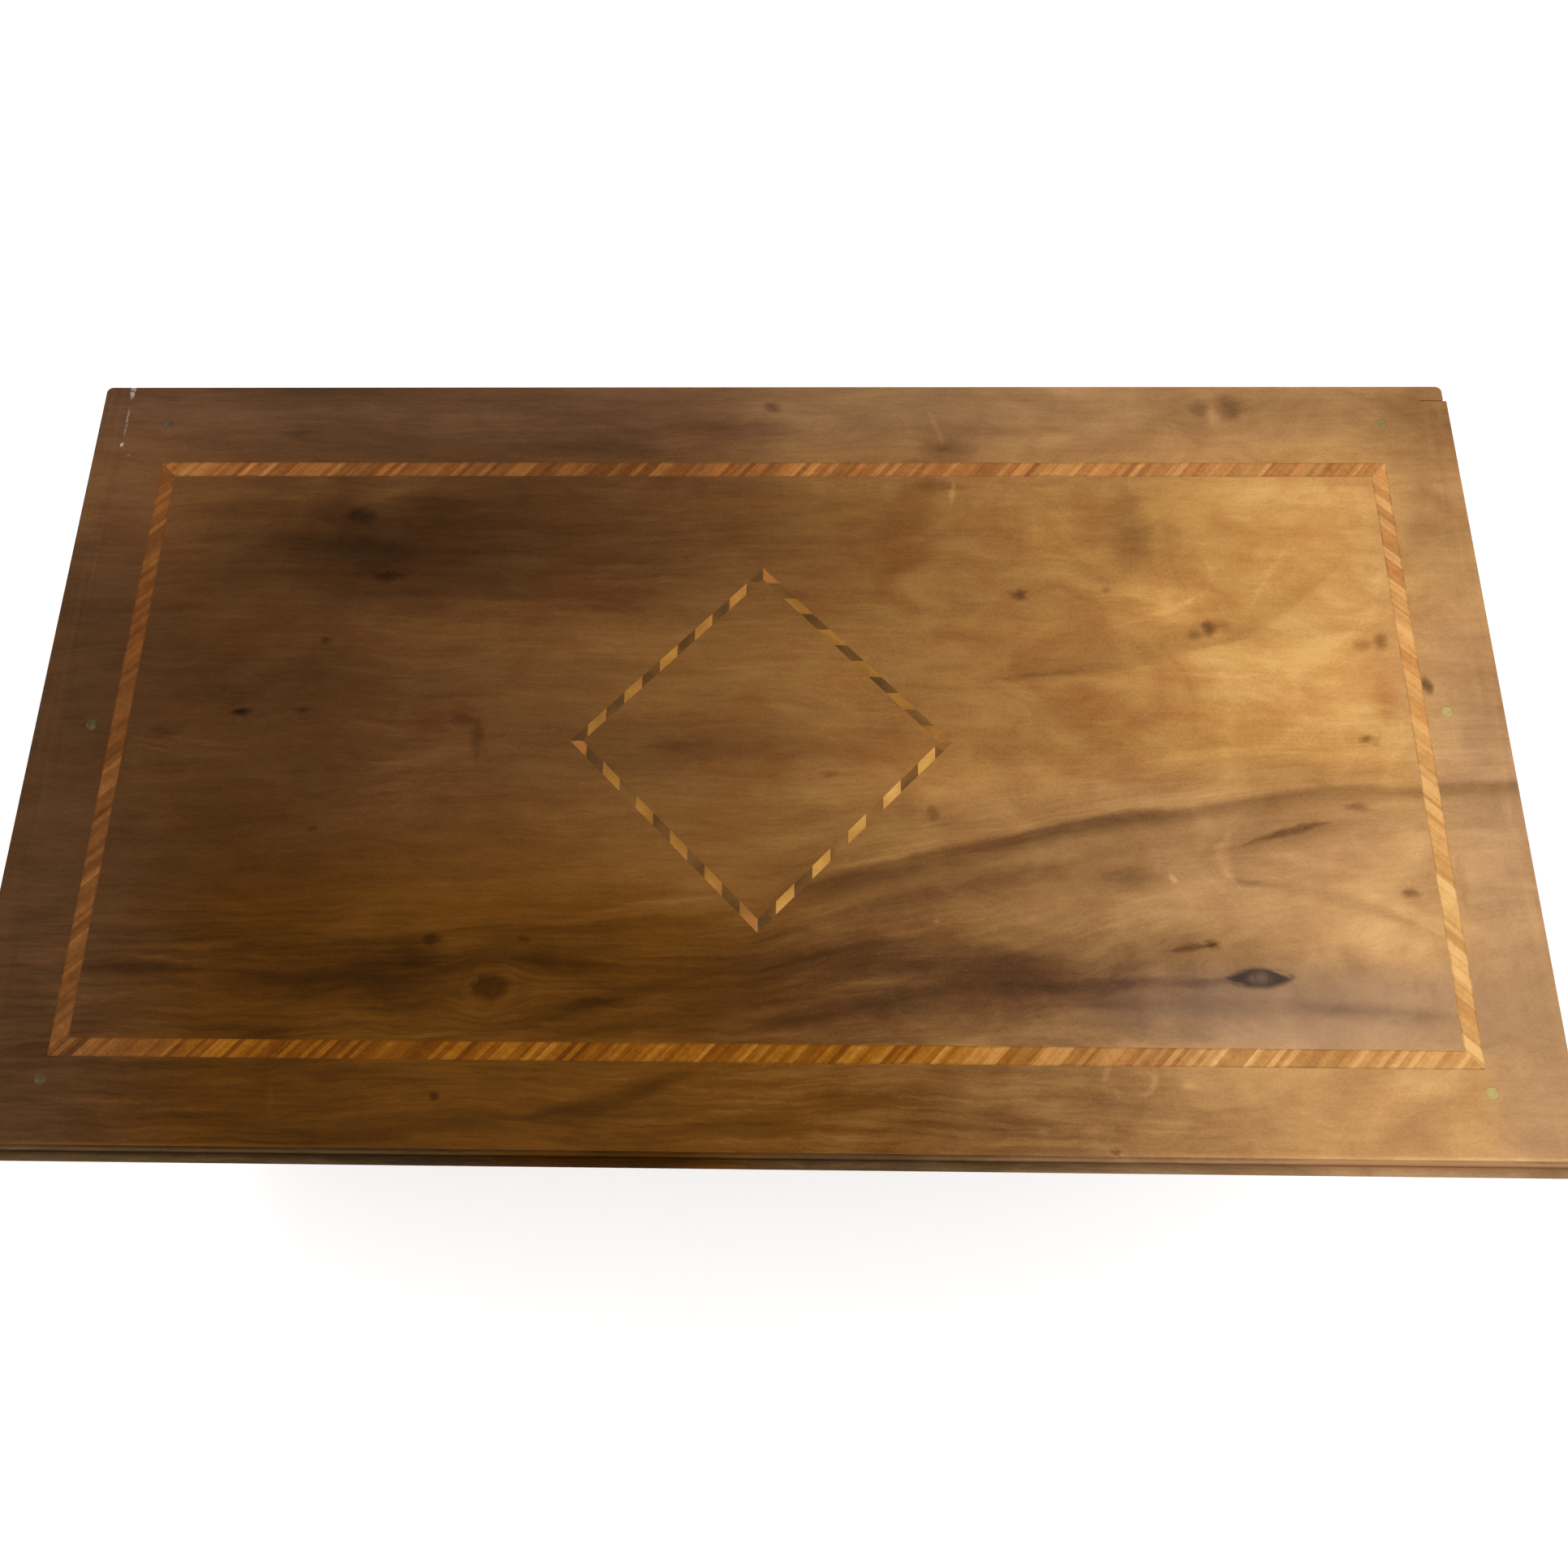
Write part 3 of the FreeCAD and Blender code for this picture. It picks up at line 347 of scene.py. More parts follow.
SPOTS = [  # x, y, half length, half height in millimetres, and how much lighter
    (-106.4, 58.6, 3.8, 2.0, -0.09), (-97, 41, 3.8, 1.4, -0.08), (-111, 23.5, 1.4, 1.0, -0.10),
    (-108, -25, 1.4, 1.0, -0.08), (-114, 4.8, 2.0, 1.2, -0.07), (-129, 4.0, 2.6, 0.9, -0.16),
    (-74, 2.2, 4.0, 1.4, -0.06), (-148, -0.9, 3.5, 1.2, -0.05), (86.3, 37.6, 1.2, 1.0, -0.11),
    (64.4, 36.2, 2.4, 1.5, -0.20), (106.8, 25.8, 2.4, 1.6, -0.18), (110.8, 26.8, 2.0, 2.0, -0.26),
    (113.5, 28, 3.0, 2.0, -0.07), (148, 23, 2.4, 1.8, -0.13), (152.6, 24, 1.8, 2.6, -0.18),
    (162.1, 12.3, 1.3, 2.2, -0.30), (146, -1.9, 2.2, 1.2, -0.22), (140.6, -18.5, 2.8, 1.1, -0.16),
    (150.6, -39.2, 1.9, 1.1, -0.22), (113, -37, 3.6, 1.2, -0.11), (40.3, -20.5, 2.0, 1.8, -0.11),
    (-76, -51.5, 2.2, 1.5, -0.11), (-55, -51.2, 1.2, 0.9, -0.09), (-80, -54, 6.0, 3.5, -0.05),
    (104, -51.4, 1.7, 1.2, -0.20), (1, 91.1, 2.0, 1.4, -0.13), (-72, -86.5, 1.1, 1.0, -0.14),
    (47.5, 78, 6.5, 3.6, -0.10), (122.5, 90.6, 3.6, 4.0, -0.14), (114, 91, 2.6, 2.6, -0.10),
    (117.6, 88.6, 1.6, 4.0, 0.06), (87.5, -36.6, 7.5, 3.0, -0.13), (78, -96.4, 1.2, 0.8, -0.17),
    (16, -11.2, 2.2, 1.0, -0.07), (95.7, -82.5, 2.0, 1.5, 0.06), (41, -46.6, 0.8, 0.8, 0.12),
    (62.5, -92.3, 1.5, 1.1, 0.06), (96, -36, 0.8, 1.0, 0.12), (-126, 83, 5.0, 1.3, -0.07),
    (44, 67.4, 6.0, 2.0, -0.09),
]
KNOTS = [  # x, y, half length and half height of the knots that push the fibres round themselves
    (113.6, -58.9, 8.4, 2.7), (-61.6, -62.4, 4.6, 3.4), (108.7, 26.5, 4.0, 2.0), (151, 23.4, 5.0, 2.6),
    (122, -25.2, 8.0, 1.6), (118, 90, 6.0, 4.0), (-106.4, 58.6, 4.5, 2.0), (64.4, 36.5, 2.6, 1.3),
]
EYE, RING_KNOT = KNOTS[:2]
RING_STAIN = (82.6, -81.0, 5.4, 4.2)
print(len(CLOUDS), "clouds,", len(VEINS + RIPPLES + PLUMES + RINGS), "veins,")
print(len(SPOTS), "spots and", len(KNOTS), "knots")

# %% [markdown]
# ## The grain that the marks lie in
# Noise that is long along the fibres and short across them gives the grain: broad mottle, ribbons,
# strands, fine streaks and pores. The fibres run along x. Below one sweeping line they rise to the right,
# as where a branch once pulled the trunk aside, and each knot pushes them apart. Bending the place that
# the noise reads is simpler than drawing bent lines, because every layer of the grain then follows the
# same bend.

# %% The noises of the top's grain
SWEEP_START, SWEEP_RISE, SWEEP_BEND = -41.0, 0.305, 0.0008


class TopGrain:
    """The coordinates of a place on the top, and the noises that its grain is made of.

    The scales of a noise are per millimetre along x, y and z, so a small one draws it out.
    """

    def __init__(self, place):
        self.place = place
        self.x, self.y, self.z = axes(place)
        right = greater(self.x, 0.0)
        self.sweep = right * (SWEEP_RISE - right * SWEEP_BEND) + SWEEP_START
        drift = noise(stretched(place, (0.03, 0.05, 0.05)), 4.0, 0.6, output="Color")
        self.drift_x, self.drift_y, _ = axes(drift)
        self.frayed = noise(stretched(place, (0.22, 0.30, 0.30)), 3.0, 0.6)
        self.patches = noise(stretched(place, (0.050, 0.065, 0.065)), 5.0, 0.6, 1.0)
        self.specks = noise(stretched(place, (1.3, 1.9, 1.9)), 2.0, 0.6)
        fibre = self.along_fibres()
        self.mottle = noise(stretched(fibre, (0.040, 0.085, 0.085)), 5.0, 0.62, 0.5)
        self.ribbons = noise(stretched(fibre, (0.035, 0.28, 0.28)), 4.0, 0.62, 0.2)
        self.strands = noise(stretched(fibre, (0.045, 0.75, 0.75)), 3.0, 0.6)
        self.fine = noise(stretched(fibre, (0.20, 1.6, 1.6)), 3.0, 0.65)
        self.pores = step(noise(stretched(fibre, (0.30, 3.0, 3.0)), 1.0), 0.60, 0.74)
        self.bundle = 0.70 + step(self.strands, 0.36, 0.64) * 0.6
        self.wavy_x = self.x + swing(self.drift_x, 5.0) + swing(self.frayed, 2.0)
        self.wavy_y = self.y + swing(self.drift_y, 4.0) + swing(self.frayed, 1.2)
        self.ragged = times_plus(self.frayed - 0.5, (4.5, -3.0, 0.0), place)

    def along_fibres(self):
        """The place, its y counted across the fibres that the sweep lifts and the knots push aside."""
        sway = noise(stretched(self.place, (0.007, 0.013, 0.02)))
        lifted = step(self.y - self.sweep, 18.0, -4.0) * step(self.y, -86.0, -40.0)
        across = self.y - (self.sweep - SWEEP_START) * lifted
        across = across + swing(sway, 14.0) + swing(self.drift_y, 6.0)
        for knot in KNOTS:
            pushed = step(distance_from(self.place, knot), 3.2, 0.4) * 0.75
            across = across - (self.y - knot[1]) * pushed
        return self.place.node("CombineXYZ", {}, {0: self.x, 1: across, 2: self.z})


print("the fibres rise from", SWEEP_START, "mm along the sweep")

# %% From grain and marks to a tone
SHADED_LEFT_TONE, RISE_TO_MIDDLE, RISE_TO_LIT_RIGHT = 0.335, 0.30, 0.20


def painted_light_gradient(x):
    """How light the top is painted from left to right: painted shade at the left, painted light at the
    right.
    """
    # painted light: a soft light from the right, painted into the tone, darker at the left and lighter at
    # the right
    to_middle = step(x, -110.0, 60.0, "LINEAR") * RISE_TO_MIDDLE
    return to_middle + step(x, 60.0, 140.0, "LINEAR") * RISE_TO_LIT_RIGHT + SHADED_LEFT_TONE


def top_figure(grain):
    """How much lighter or darker the grain makes the top: streaky at the left, blotchy at the right."""
    right_side = step(grain.x, -20.0, 90.0)
    # In this list, heartwood means the shaded left of the top and sapwood its lit right.
    layers = [  # each noise, its strength in heartwood, and how much that changes in sapwood
        (grain.mottle, 0.15, 0.0), (grain.ribbons, 0.13, -0.05), (grain.strands, 0.10, -0.04),
        (grain.patches, 0.05, 0.16), (grain.fine, 0.08, -0.045), (grain.specks, 0.085, 0.0),
    ]
    figure = grain.pores * -0.02
    for layer, strength, change in layers:
        figure = figure + swing(layer, right_side * change + strength)
    streaky = step(grain.y, -38.0, -54.0) * step(grain.x, 125.0, 70.0)
    figure = figure + (swing(grain.ribbons, 0.12) + swing(grain.strands, 0.14)) * streaky
    return figure * (0.80 + step(grain.x, -60.0, 100.0) * 0.40)


def add_clouds(tone, grain):
    """Broad soft clouds with drifting outlines."""
    drifted_x = grain.x + swing(grain.drift_x, 50.0)
    drifted_y = grain.y + swing(grain.drift_y, 20.0)
    drifted = grain.place.node("CombineXYZ", {}, {0: drifted_x, 1: drifted_y, 2: grain.z})
    for *ellipse, lighter in CLOUDS:
        tone = tone + step(distance_from(drifted, ellipse), 1.0, 0.0) * lighter
    return tone


def add_veins(tone, grain):
    """Veins of every kind, broken up by the strands, the ribbons or the fraying that they run through."""
    kinds = [
        (VEINS, grain.x, grain.wavy_y, grain.bundle),
        (RINGS, grain.x, grain.wavy_y, 0.5 + grain.ribbons),
        (RIPPLES, grain.y, grain.wavy_x, 0.4 + grain.frayed * 1.2),
        (PLUMES, grain.y, grain.wavy_x, 1.0),
    ]
    for veins, run, across, broken in kinds:
        for points, above, below, lighter in veins:
            tone = tone + vein(run, across, points, above, below) * broken * lighter
    return tone


def add_sweep(tone, grain):
    """The sweep shows as a light line over a shade, broad at the left and narrower to the right."""
    over = grain.wavy_y - grain.sweep
    light = step(abs(over - 2.0), 2.6, 0.0) * step(grain.x, 2.0, 25.0) * step(grain.x, 150.0, 100.0)
    tone = tone + light * grain.bundle * 0.06
    broad = step(over, -8.0, -0.8) * step(grain.x, -8.0, 20.0) * step(grain.x, 110.0, 60.0)
    narrow = step(over, -5.5, -0.6) * step(grain.x, 40.0, 90.0)
    under = step(over, 1.0, -0.8) * (0.5 + grain.bundle * 0.5)
    return tone - under * (broad + narrow) * 0.11


def add_spots(tone, grain):
    """Small ragged spots, the knot with rings, and a stain left by something round."""
    for *ellipse, lighter in SPOTS:
        tone = tone + step(distance_from(grain.ragged, ellipse), 1.5, 0.1) * lighter
    ring = distance_from(grain.ragged, RING_KNOT)
    tone = tone - step(ring, 1.2, 0.1) * 0.06 - step(abs(ring - 0.55), 0.5, 0.05) * grain.frayed * 0.09
    tone = tone + step(abs(ring - 1.2), 0.4, 0.05) * grain.frayed * 0.04
    off_stain = abs(distance_from(grain.place, RING_STAIN) - 1.0)
    return tone + step(off_stain, 0.22, 0.05) * step(grain.frayed, 0.38, 0.58) * 0.08


def ruddiness(grain):
    """Where the wood is redder: in broad patches, in the plumes and round the ring knot."""
    broad = grain.mottle * 0.3 + grain.patches * 0.3 + grain.drift_x * 0.2 + grain.specks * 0.2
    ruddy = step(broad, 0.56, 0.43) * 0.6
    for points, above, below, _ in PLUMES:
        ruddy = ruddy + vein(grain.y, grain.wavy_x, points, above, below) * 0.5
    return ruddy + step(distance_from(grain.ragged, RING_KNOT), 1.6, 0.3) * 0.5


def figured_tone(grain):
    """How light the top is at each place."""
    # the painted light from the right comes first, then the figure
    tone = painted_light_gradient(grain.x) + top_figure(grain)
    for add_marks in (add_clouds, add_veins, add_spots, add_sweep):
        tone = add_marks(tone, grain)
    return tone


print("tones run from", SHADED_LEFT_TONE, "up, before the figure and the marks")

# %% [markdown]
# ## Colour, wear and painted sheen of the top
# One run of tones would leave the top a single brown, and old varnish is not so even: it has gone rusty
# in patches and amber at the front left, and dirt has settled in the moulding. A hazy sheen towards the
# rear and the front right is painted reflection. So the same tone is read through several runs of colour,
# and masks say which one shows: each mask is a step between two places, in millimetres from the middle of
# the box. The eye knot and the crumbs of filler in the left seam are laid on last, because no run of tones
# holds their colours.

# %% Runs of colour, and where the lid's edges are
RUSTY = [  # tone, and the colour at that tone, as for walnut
    (0.10, (26, 13, 5)), (0.20, (51, 28, 11)), (0.36, (91, 54, 25)), (0.54, (138, 87, 43)),
    (0.70, (178, 116, 61)), (0.85, (216, 151, 84)), (0.95, (240, 180, 108)),
]
EMBER = [
    (0.15, (38, 21, 3)), (0.25, (64, 36, 6)), (0.33, (84, 50, 11)), (0.42, (107, 65, 18)),
    (0.52, (133, 88, 38)), (0.65, (166, 118, 62)),
]
# painted sheen: the colours of the varnish where it reflects the light
SHEEN_STOPS = [
    (0.20, (51, 37, 20)), (0.30, (76, 54, 33)), (0.38, (97, 65, 42)), (0.46, (117, 82, 54)),
    (0.56, (143, 105, 69)), (0.65, (166, 124, 82)), (0.75, (191, 146, 101)), (0.85, (217, 168, 116)),
    (0.95, (240, 190, 136)),
]
GRIME = [
    (0.20, (51, 37, 20)), (0.30, (76, 57, 32)), (0.45, (115, 86, 55)), (0.60, (153, 117, 80)),
    (0.80, (204, 162, 116)),
]
# the colour of the painted reflection at the front right, then the eye knot's dark rim and heart
SHEEN_PATCH_COLOUR, EYE_DARK, EYE_HEART = paint(172, 146, 130), paint(48, 43, 41), paint(112, 91, 78)
FILLER_WHITE = paint(200, 186, 170)


def corners_of(points):
    """The low and the high corner of the box round some points."""
    return Vector(map(min, zip(*points))), Vector(map(max, zip(*points)))


def box_mm(*nodes):
    """The low and the high corner of the box round some nodes, in millimetres."""
    low, high = corners_of([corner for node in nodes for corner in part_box(node)])
    return low / MM, high / MM


LID_LOW, LID_HIGH = box_mm("lid_board")
LID_TOP, SEAM = LID_HIGH.z, -LID_LOW.x
FRONT_ARRIS, QUIRK, BEAD = -97.5, -98.7, -99.6  # y of the lid's front arris and of its moulding
# where the pale patch of painted reflection lies at the front right
SHEEN_PATCH = (122, -66, 60, 14)
FILLER = [  # x, y, half length, half height in millimetres, and how white: old filler in the left seam
    (-SEAM, 97.5, 0.8, 4.0, 0.8), (-SEAM, 87, 0.35, 5.0, 0.35), (-SEAM, 79.7, 0.6, 0.8, 0.9),
    (-170.6, 76.4, 0.5, 0.5, 0.6),
]
print("the top lies at", round(LID_TOP, 1), "mm, and the lippings' seams at", round(SEAM, 1), "mm")

# %% Edges, colours, eye and filler
PLAIN_TONE = 0.45


def below_top(z):
    """1 below the lid's top face."""
    return step(z, LID_TOP - 0.3, LID_TOP - 0.9)


def past_arris(y):
    """1 on the moulding, in front of the lid's arris."""
    return step(y, FRONT_ARRIS - 0.1, FRONT_ARRIS - 0.5)


def edge_tone(tone, grain):
    """The tone, changed where the lid's edges are plainer or darker, with painted shade below the top,
    painted light in the quirk and a painted highlight on the rubbed arris.
    """
    x, y, z = grain.x, grain.y, grain.z
    lit_right = step(x, 40.0, 150.0)
    tone = tone - (tone - PLAIN_TONE) * step(z, LID_TOP - 5.0, LID_TOP - 9.0) * 0.6
    # painted shade: the lid's side faces below the top are darkened, less at the lit right
    tone = tone - below_top(z) * (0.07 - lit_right * 0.03)
    cross_grain = noise(stretched(grain.place, (0.5, 0.03, 0.5)), 2.0)
    tone = tone + step(abs(x), SEAM - 0.2, SEAM + 0.2) * swing(cross_grain, 0.10)
    tone = tone + past_arris(y) * step(x, -70.0, -140.0) * 0.07
    # The front arris is worn, and it also carries a painted highlight: a lighter line, strongest at the
    # lit right.
    rubbed = step(y, FRONT_ARRIS + 1.0, FRONT_ARRIS + 0.2) * (1.0 - past_arris(y))
    tone = tone + rubbed * (lit_right * 0.08 + step(x, -70.0, -110.0) * 0.06)
    # painted light: the quirk is lightened to lift the shade that falls in it, less in the middle
    middle = step(x, -85.0, -45.0) * step(x, 60.0, 20.0)
    tone = tone + step(abs(y - QUIRK), 0.7, 0.2) * (0.12 - middle * 0.06)
    tone = tone - step(y, BEAD + 0.6, BEAD - 0.4) * step(x, -115.0, -65.0) * 0.10
    return tone - step(x, 150.0, 174.0) * 0.07


def aged_colour(tone, ruddy, grain):
    """The tone as a colour: walnut, or rusty, amber or grimy where masks say, with a hazy painted sheen
    and a faint painted reflection.
    """
    x, y = grain.x, grain.y
    margin = step(y, -74.0, -80.0)
    ember = step(y, -8.0, -50.0) * step(x - margin * 45.0, 35.0, -30.0) * step(x, -158.0, -120.0)
    front_right = step(x, 0.0, 105.0) * step(y, -2.0, -26.0) * (1.0 - margin * 0.5)
    front_right = front_right * (0.65 + step(y, -50.0, -62.0) * 0.35)
    rear = step(y, 60.0, 92.0) * (1.0 - step(x, 40.0, 150.0) * 0.4)
    ends = step(abs(x), 140.0, 174.0) * 0.5 + step(x, 150.0, 168.0) * step(y, 50.0, -20.0) * 0.5
    # painted sheen: a hazy reflection towards the rear, at the front right and at the ends
    sheen_mask = greater(greater(rear, front_right), ends)
    cleaner = step(x, -85.0, -45.0) * step(x, 15.0, -15.0)
    grime = past_arris(y) * (1.0 - cleaner)
    colour = ramp(tone, WALNUT)
    for mask, stops in ((ruddy, RUSTY), (ember, EMBER), (sheen_mask, SHEEN_STOPS), (grime, GRIME)):
        colour = blend(mask, colour, ramp(tone, stops))
    # a faint pale patch of painted reflection at the front right
    return blend(step(distance_from(grain.place, SHEEN_PATCH), 1.0, 0.2) * 0.24, colour, SHEEN_PATCH_COLOUR)


def add_eye(colour, grain):
    """The eye: a dark lens with a point at each end, and a lighter, streaky heart."""
    worn = times_plus(grain.fine - 0.5, (4.0, 1.5, 0.0), grain.place)
    streaks = noise(stretched(grain.place, (1.1, 0.25, 0.25)), 2.0)
    x, y, length, height = EYE
    heart = step(distance_from(worn, (x, y, length * 0.48, height * 0.85)), 1.0, 0.1)
    lens = step(lens_from(worn, EYE), 1.15, 0.5)
    return blend(lens * 0.86, colour, blend(heart * (0.2 + streaks * 1.2), EYE_DARK, EYE_HEART))


def add_filler(colour, grain):
    """Crumbs of old white filler in the left seam."""
    crumbs = step(noise(stretched(grain.place, (0.9, 0.6, 0.9))), 0.35, 0.55)
    crumbs = crumbs * step(grain.z, LID_TOP - 4.0, LID_TOP - 1.0)
    for *patch, white in FILLER:
        spot = step(distance_from(grain.place, patch), 1.2, 0.5)
        colour = blend(spot * crumbs * white, colour, FILLER_WHITE)
    return colour


print("the eye knot is", EYE[2] * 2, "mm long")

# %% The finish of the top and of the edges round it
def dress(node, finish):
    """Give a CAD node that keeps its own shape its finish."""
    frame["nodes"][node].data.materials[0] = finish


def figured_finish(name):
    """Figured walnut under old varnish."""
    material, shader, place = new_finish(name)
    grain = TopGrain(place)
    colour = aged_colour(edge_tone(figured_tone(grain), grain), ruddiness(grain), grain)
    smudges = noise(stretched(place, (0.03, 0.03, 0.03)), 4.0, 0.6)
    lay(shader, {
        "Base Color": add_filler(add_eye(colour, grain), grain),
        "Roughness": 0.40 + swing(smudges, 0.25) + grain.pores * 0.08 + below_top(grain.z) * 0.1,
        "Specular IOR Level": 0.02,
        "Normal": bump(grain.fine * 0.3 - grain.pores * 0.7, 0.018),
    })
    print(name, "has", len(material.node_tree.nodes), "nodes")
    return material


walnut_top = figured_finish("walnut_top")
dress("lid_board", walnut_top)

# %% [markdown]
# ## Plainer boards
# The rest of the box is straighter walnut, sawn so that the fibres run along each board, and pale
# unvarnished wood inside. One function covers them all: it needs the axis of the fibres, the wood's run
# of tones, and how lively the figure is. Hands have rubbed the outer edges of the case, the lid's rim and
# the plinth paler and smoother, so those boards are also told the outline that they stand in.

# %% Figure of a board, and edges that hands have rubbed
ALONG_X, ALONG_Y, ALONG_Z = range(3)
RUBBED_REACH = 2.2


def drawn(along, lengthwise, crosswise):
    """Scales per millimetre, small along the fibres."""
    return [lengthwise if axis == along else crosswise for axis in range(3)]


def board_figure(place, along):
    """Broad figure, fine streaks and pores of a plain board."""
    sway = noise(stretched(place, drawn(along, 0.006, 0.02)))
    swayed = times_plus(sway, drawn(along, 0.0, 14.0), place)
    broad = noise(stretched(swayed, drawn(along, 0.012, 0.13)), 3.0, 0.55)
    fine = noise(stretched(swayed, drawn(along, 0.03, 0.9)), 3.0, 0.6)
    pores = step(noise(stretched(swayed, drawn(along, 0.14, 2.4)), 1.0), 0.60, 0.74)
    return broad, fine, pores


def near_edges(place, outline, reach):
    """1 along the edges of a box, where two of the three coordinates are close to its faces."""
    near = []
    for value, low, high in zip(axes(place), *outline):
        past_face = abs(value - (low + high) / 2) - (high - low) / 2
        near.append(step(abs(past_face), reach, 0.0))
    x, y, z = near
    return greater(greater(x * y, y * z), z * x)


def rubbed_edges(place, outlines):
    """Broken stretches along the edges of some outlines."""
    chafed = noise(stretched(place, (0.16, 0.16, 0.16)), 4.0, 0.65)
    for outline in outlines:
        edge = step(near_edges(place, outline, RUBBED_REACH) + swing(chafed, 2.0), 0.35, 1.0)
        yield edge * near_edges(place, outline, RUBBED_REACH * 1.5)


print("edges are rubbed over", RUBBED_REACH, "mm")

# %% Boards with their fibres along one axis
def board_finish(name, along, stops, tone, lively, roughness, outlines=()):
    """Straight boards of one wood, paler and smoother along the edges of the outlines."""
    material, shader, place = new_finish(name)
    broad, fine, pores = board_figure(place, along)
    tone = tone + swing(broad, lively) + swing(fine, lively * 0.5) - pores * (lively * 0.2)
    smudges = noise(stretched(place, (0.05, 0.05, 0.05)), 4.0, 0.6)
    for edge in rubbed_edges(place, outlines):
        tone = tone + edge * 0.075
        roughness = roughness - edge * 0.08
    lay(shader, {
        "Base Color": ramp(tone + swing(smudges, lively * 0.3), stops),
        "Roughness": roughness + swing(smudges, 0.2) + pores * 0.1,
        "Specular IOR Level": 0.25,
        "Normal": bump(fine * 0.3 - pores * 0.7, 0.04),
    })
    return material


LINING = [(0.2, (120, 84, 48)), (0.5, (178, 137, 88)), (0.8, (208, 172, 122))]
MAPLE = [(0.2, (168, 132, 86)), (0.5, (206, 174, 126)), (0.8, (226, 200, 156))]
CASE_OUTLINES = [
    box_mm("front_wall", "back_wall", "left_wall", "right_wall"),
    box_mm("lid_front_rail", "lid_back_rail", "lid_left_rail", "lid_right_rail"),
]
PLINTH_OUTLINES = [box_mm("plinth_front", "plinth_back", "plinth_left", "drawer_front")]
walnut_case, walnut_plinth, lining_wood = [], [], []
for along, way in enumerate("xy"):
    case = board_finish(f"walnut_case_{way}", along, WALNUT, 0.47, 0.30, 0.42, CASE_OUTLINES)
    plinth = board_finish(f"walnut_plinth_{way}", along, WALNUT, 0.40, 0.26, 0.42, PLINTH_OUTLINES)
    walnut_case.append(case)
    walnut_plinth.append(plinth)
    lining_wood.append(board_finish(f"lining_wood_{way}", along, LINING, 0.52, 0.35, 0.62))
turned_feet = board_finish("turned_feet", ALONG_X, WALNUT, 0.27, 0.14, 0.38)
hard_maple = board_finish("hard_maple", ALONG_X, MAPLE, 0.5, 0.25, 0.5)
print("boards: walnut for the case and plinth, pale wood inside")

# %% [markdown]
# ## Banding
# The banding is sawn from a sandwich of light and rusty strips, so its strips lean, and each is a little
# different in width and colour. A one-dimensional cell pattern along a leaning line gives that directly.
# The four lengths have faded differently, and they carry the painted light of the top, darker at the
# left and lighter at the right, so each has its own list of tones from one end to the other.

# %% Banding strips
STRIPS = [  # tone, and the colour at that tone
    (0.30, (80, 48, 22)), (0.42, (107, 66, 31)), (0.50, (127, 80, 39)), (0.57, (145, 95, 47)),
    (0.66, (168, 112, 59)), (0.76, (194, 138, 79)), (0.84, (214, 157, 92)), (0.93, (236, 180, 110)),
    (1.0, (250, 197, 126)),
]
RUST_STRIPS = [
    (0.30, (82, 45, 19)), (0.50, (130, 76, 35)), (0.66, (171, 106, 54)), (0.84, (218, 148, 82)),
    (0.93, (238, 172, 100)),
]
EMBER_STRIPS = [
    (0.38, (97, 52, 6)), (0.50, (127, 72, 13)), (0.60, (153, 94, 22)), (0.72, (184, 122, 44)),
    (0.82, (208, 148, 74)),
]
JOINT_BROWN = paint(84, 50, 16)
GROUPS_PER_MM = 0.14


def strip_cells(along, per_mm):
    """Two different numbers from 0 to 1 for each strip along a line."""
    settings = {"voronoi_dimensions": "1D", "feature": "F1"}
    inputs = {"W": along, "Scale": per_mm, "Randomness": 0.8}
    return axes(along.node("TexVoronoi", settings, inputs, "Color"))[:2]


def tones_along(value, low, high, tones):
    """The tones that are listed from one end of a run to the other."""
    share = step(value, low, high, "LINEAR")
    stops = [(count / (len(tones) - 1), (tone, tone, tone, 1.0)) for count, tone in enumerate(tones)]
    return share.node("ValToRGB", {"stops": stops}, {0: share})


def strip_colour(tone, rusty, x, y):
    """The colour of a strip: some are rusty, most of all at the rear, and amber at the front left."""
    rear = step(y, -60.0, 40.0)
    rust = step(rusty, 0.35, 0.65) * (0.25 + rear * 0.35) + rear * 0.3
    colour = blend(rust, ramp(tone, STRIPS), ramp(tone, RUST_STRIPS))
    ember = step(y, -30.0, -70.0) * step(x, 95.0, 30.0) * step(x, -160.0, -115.0)
    return blend(ember, colour, ramp(tone, EMBER_STRIPS))


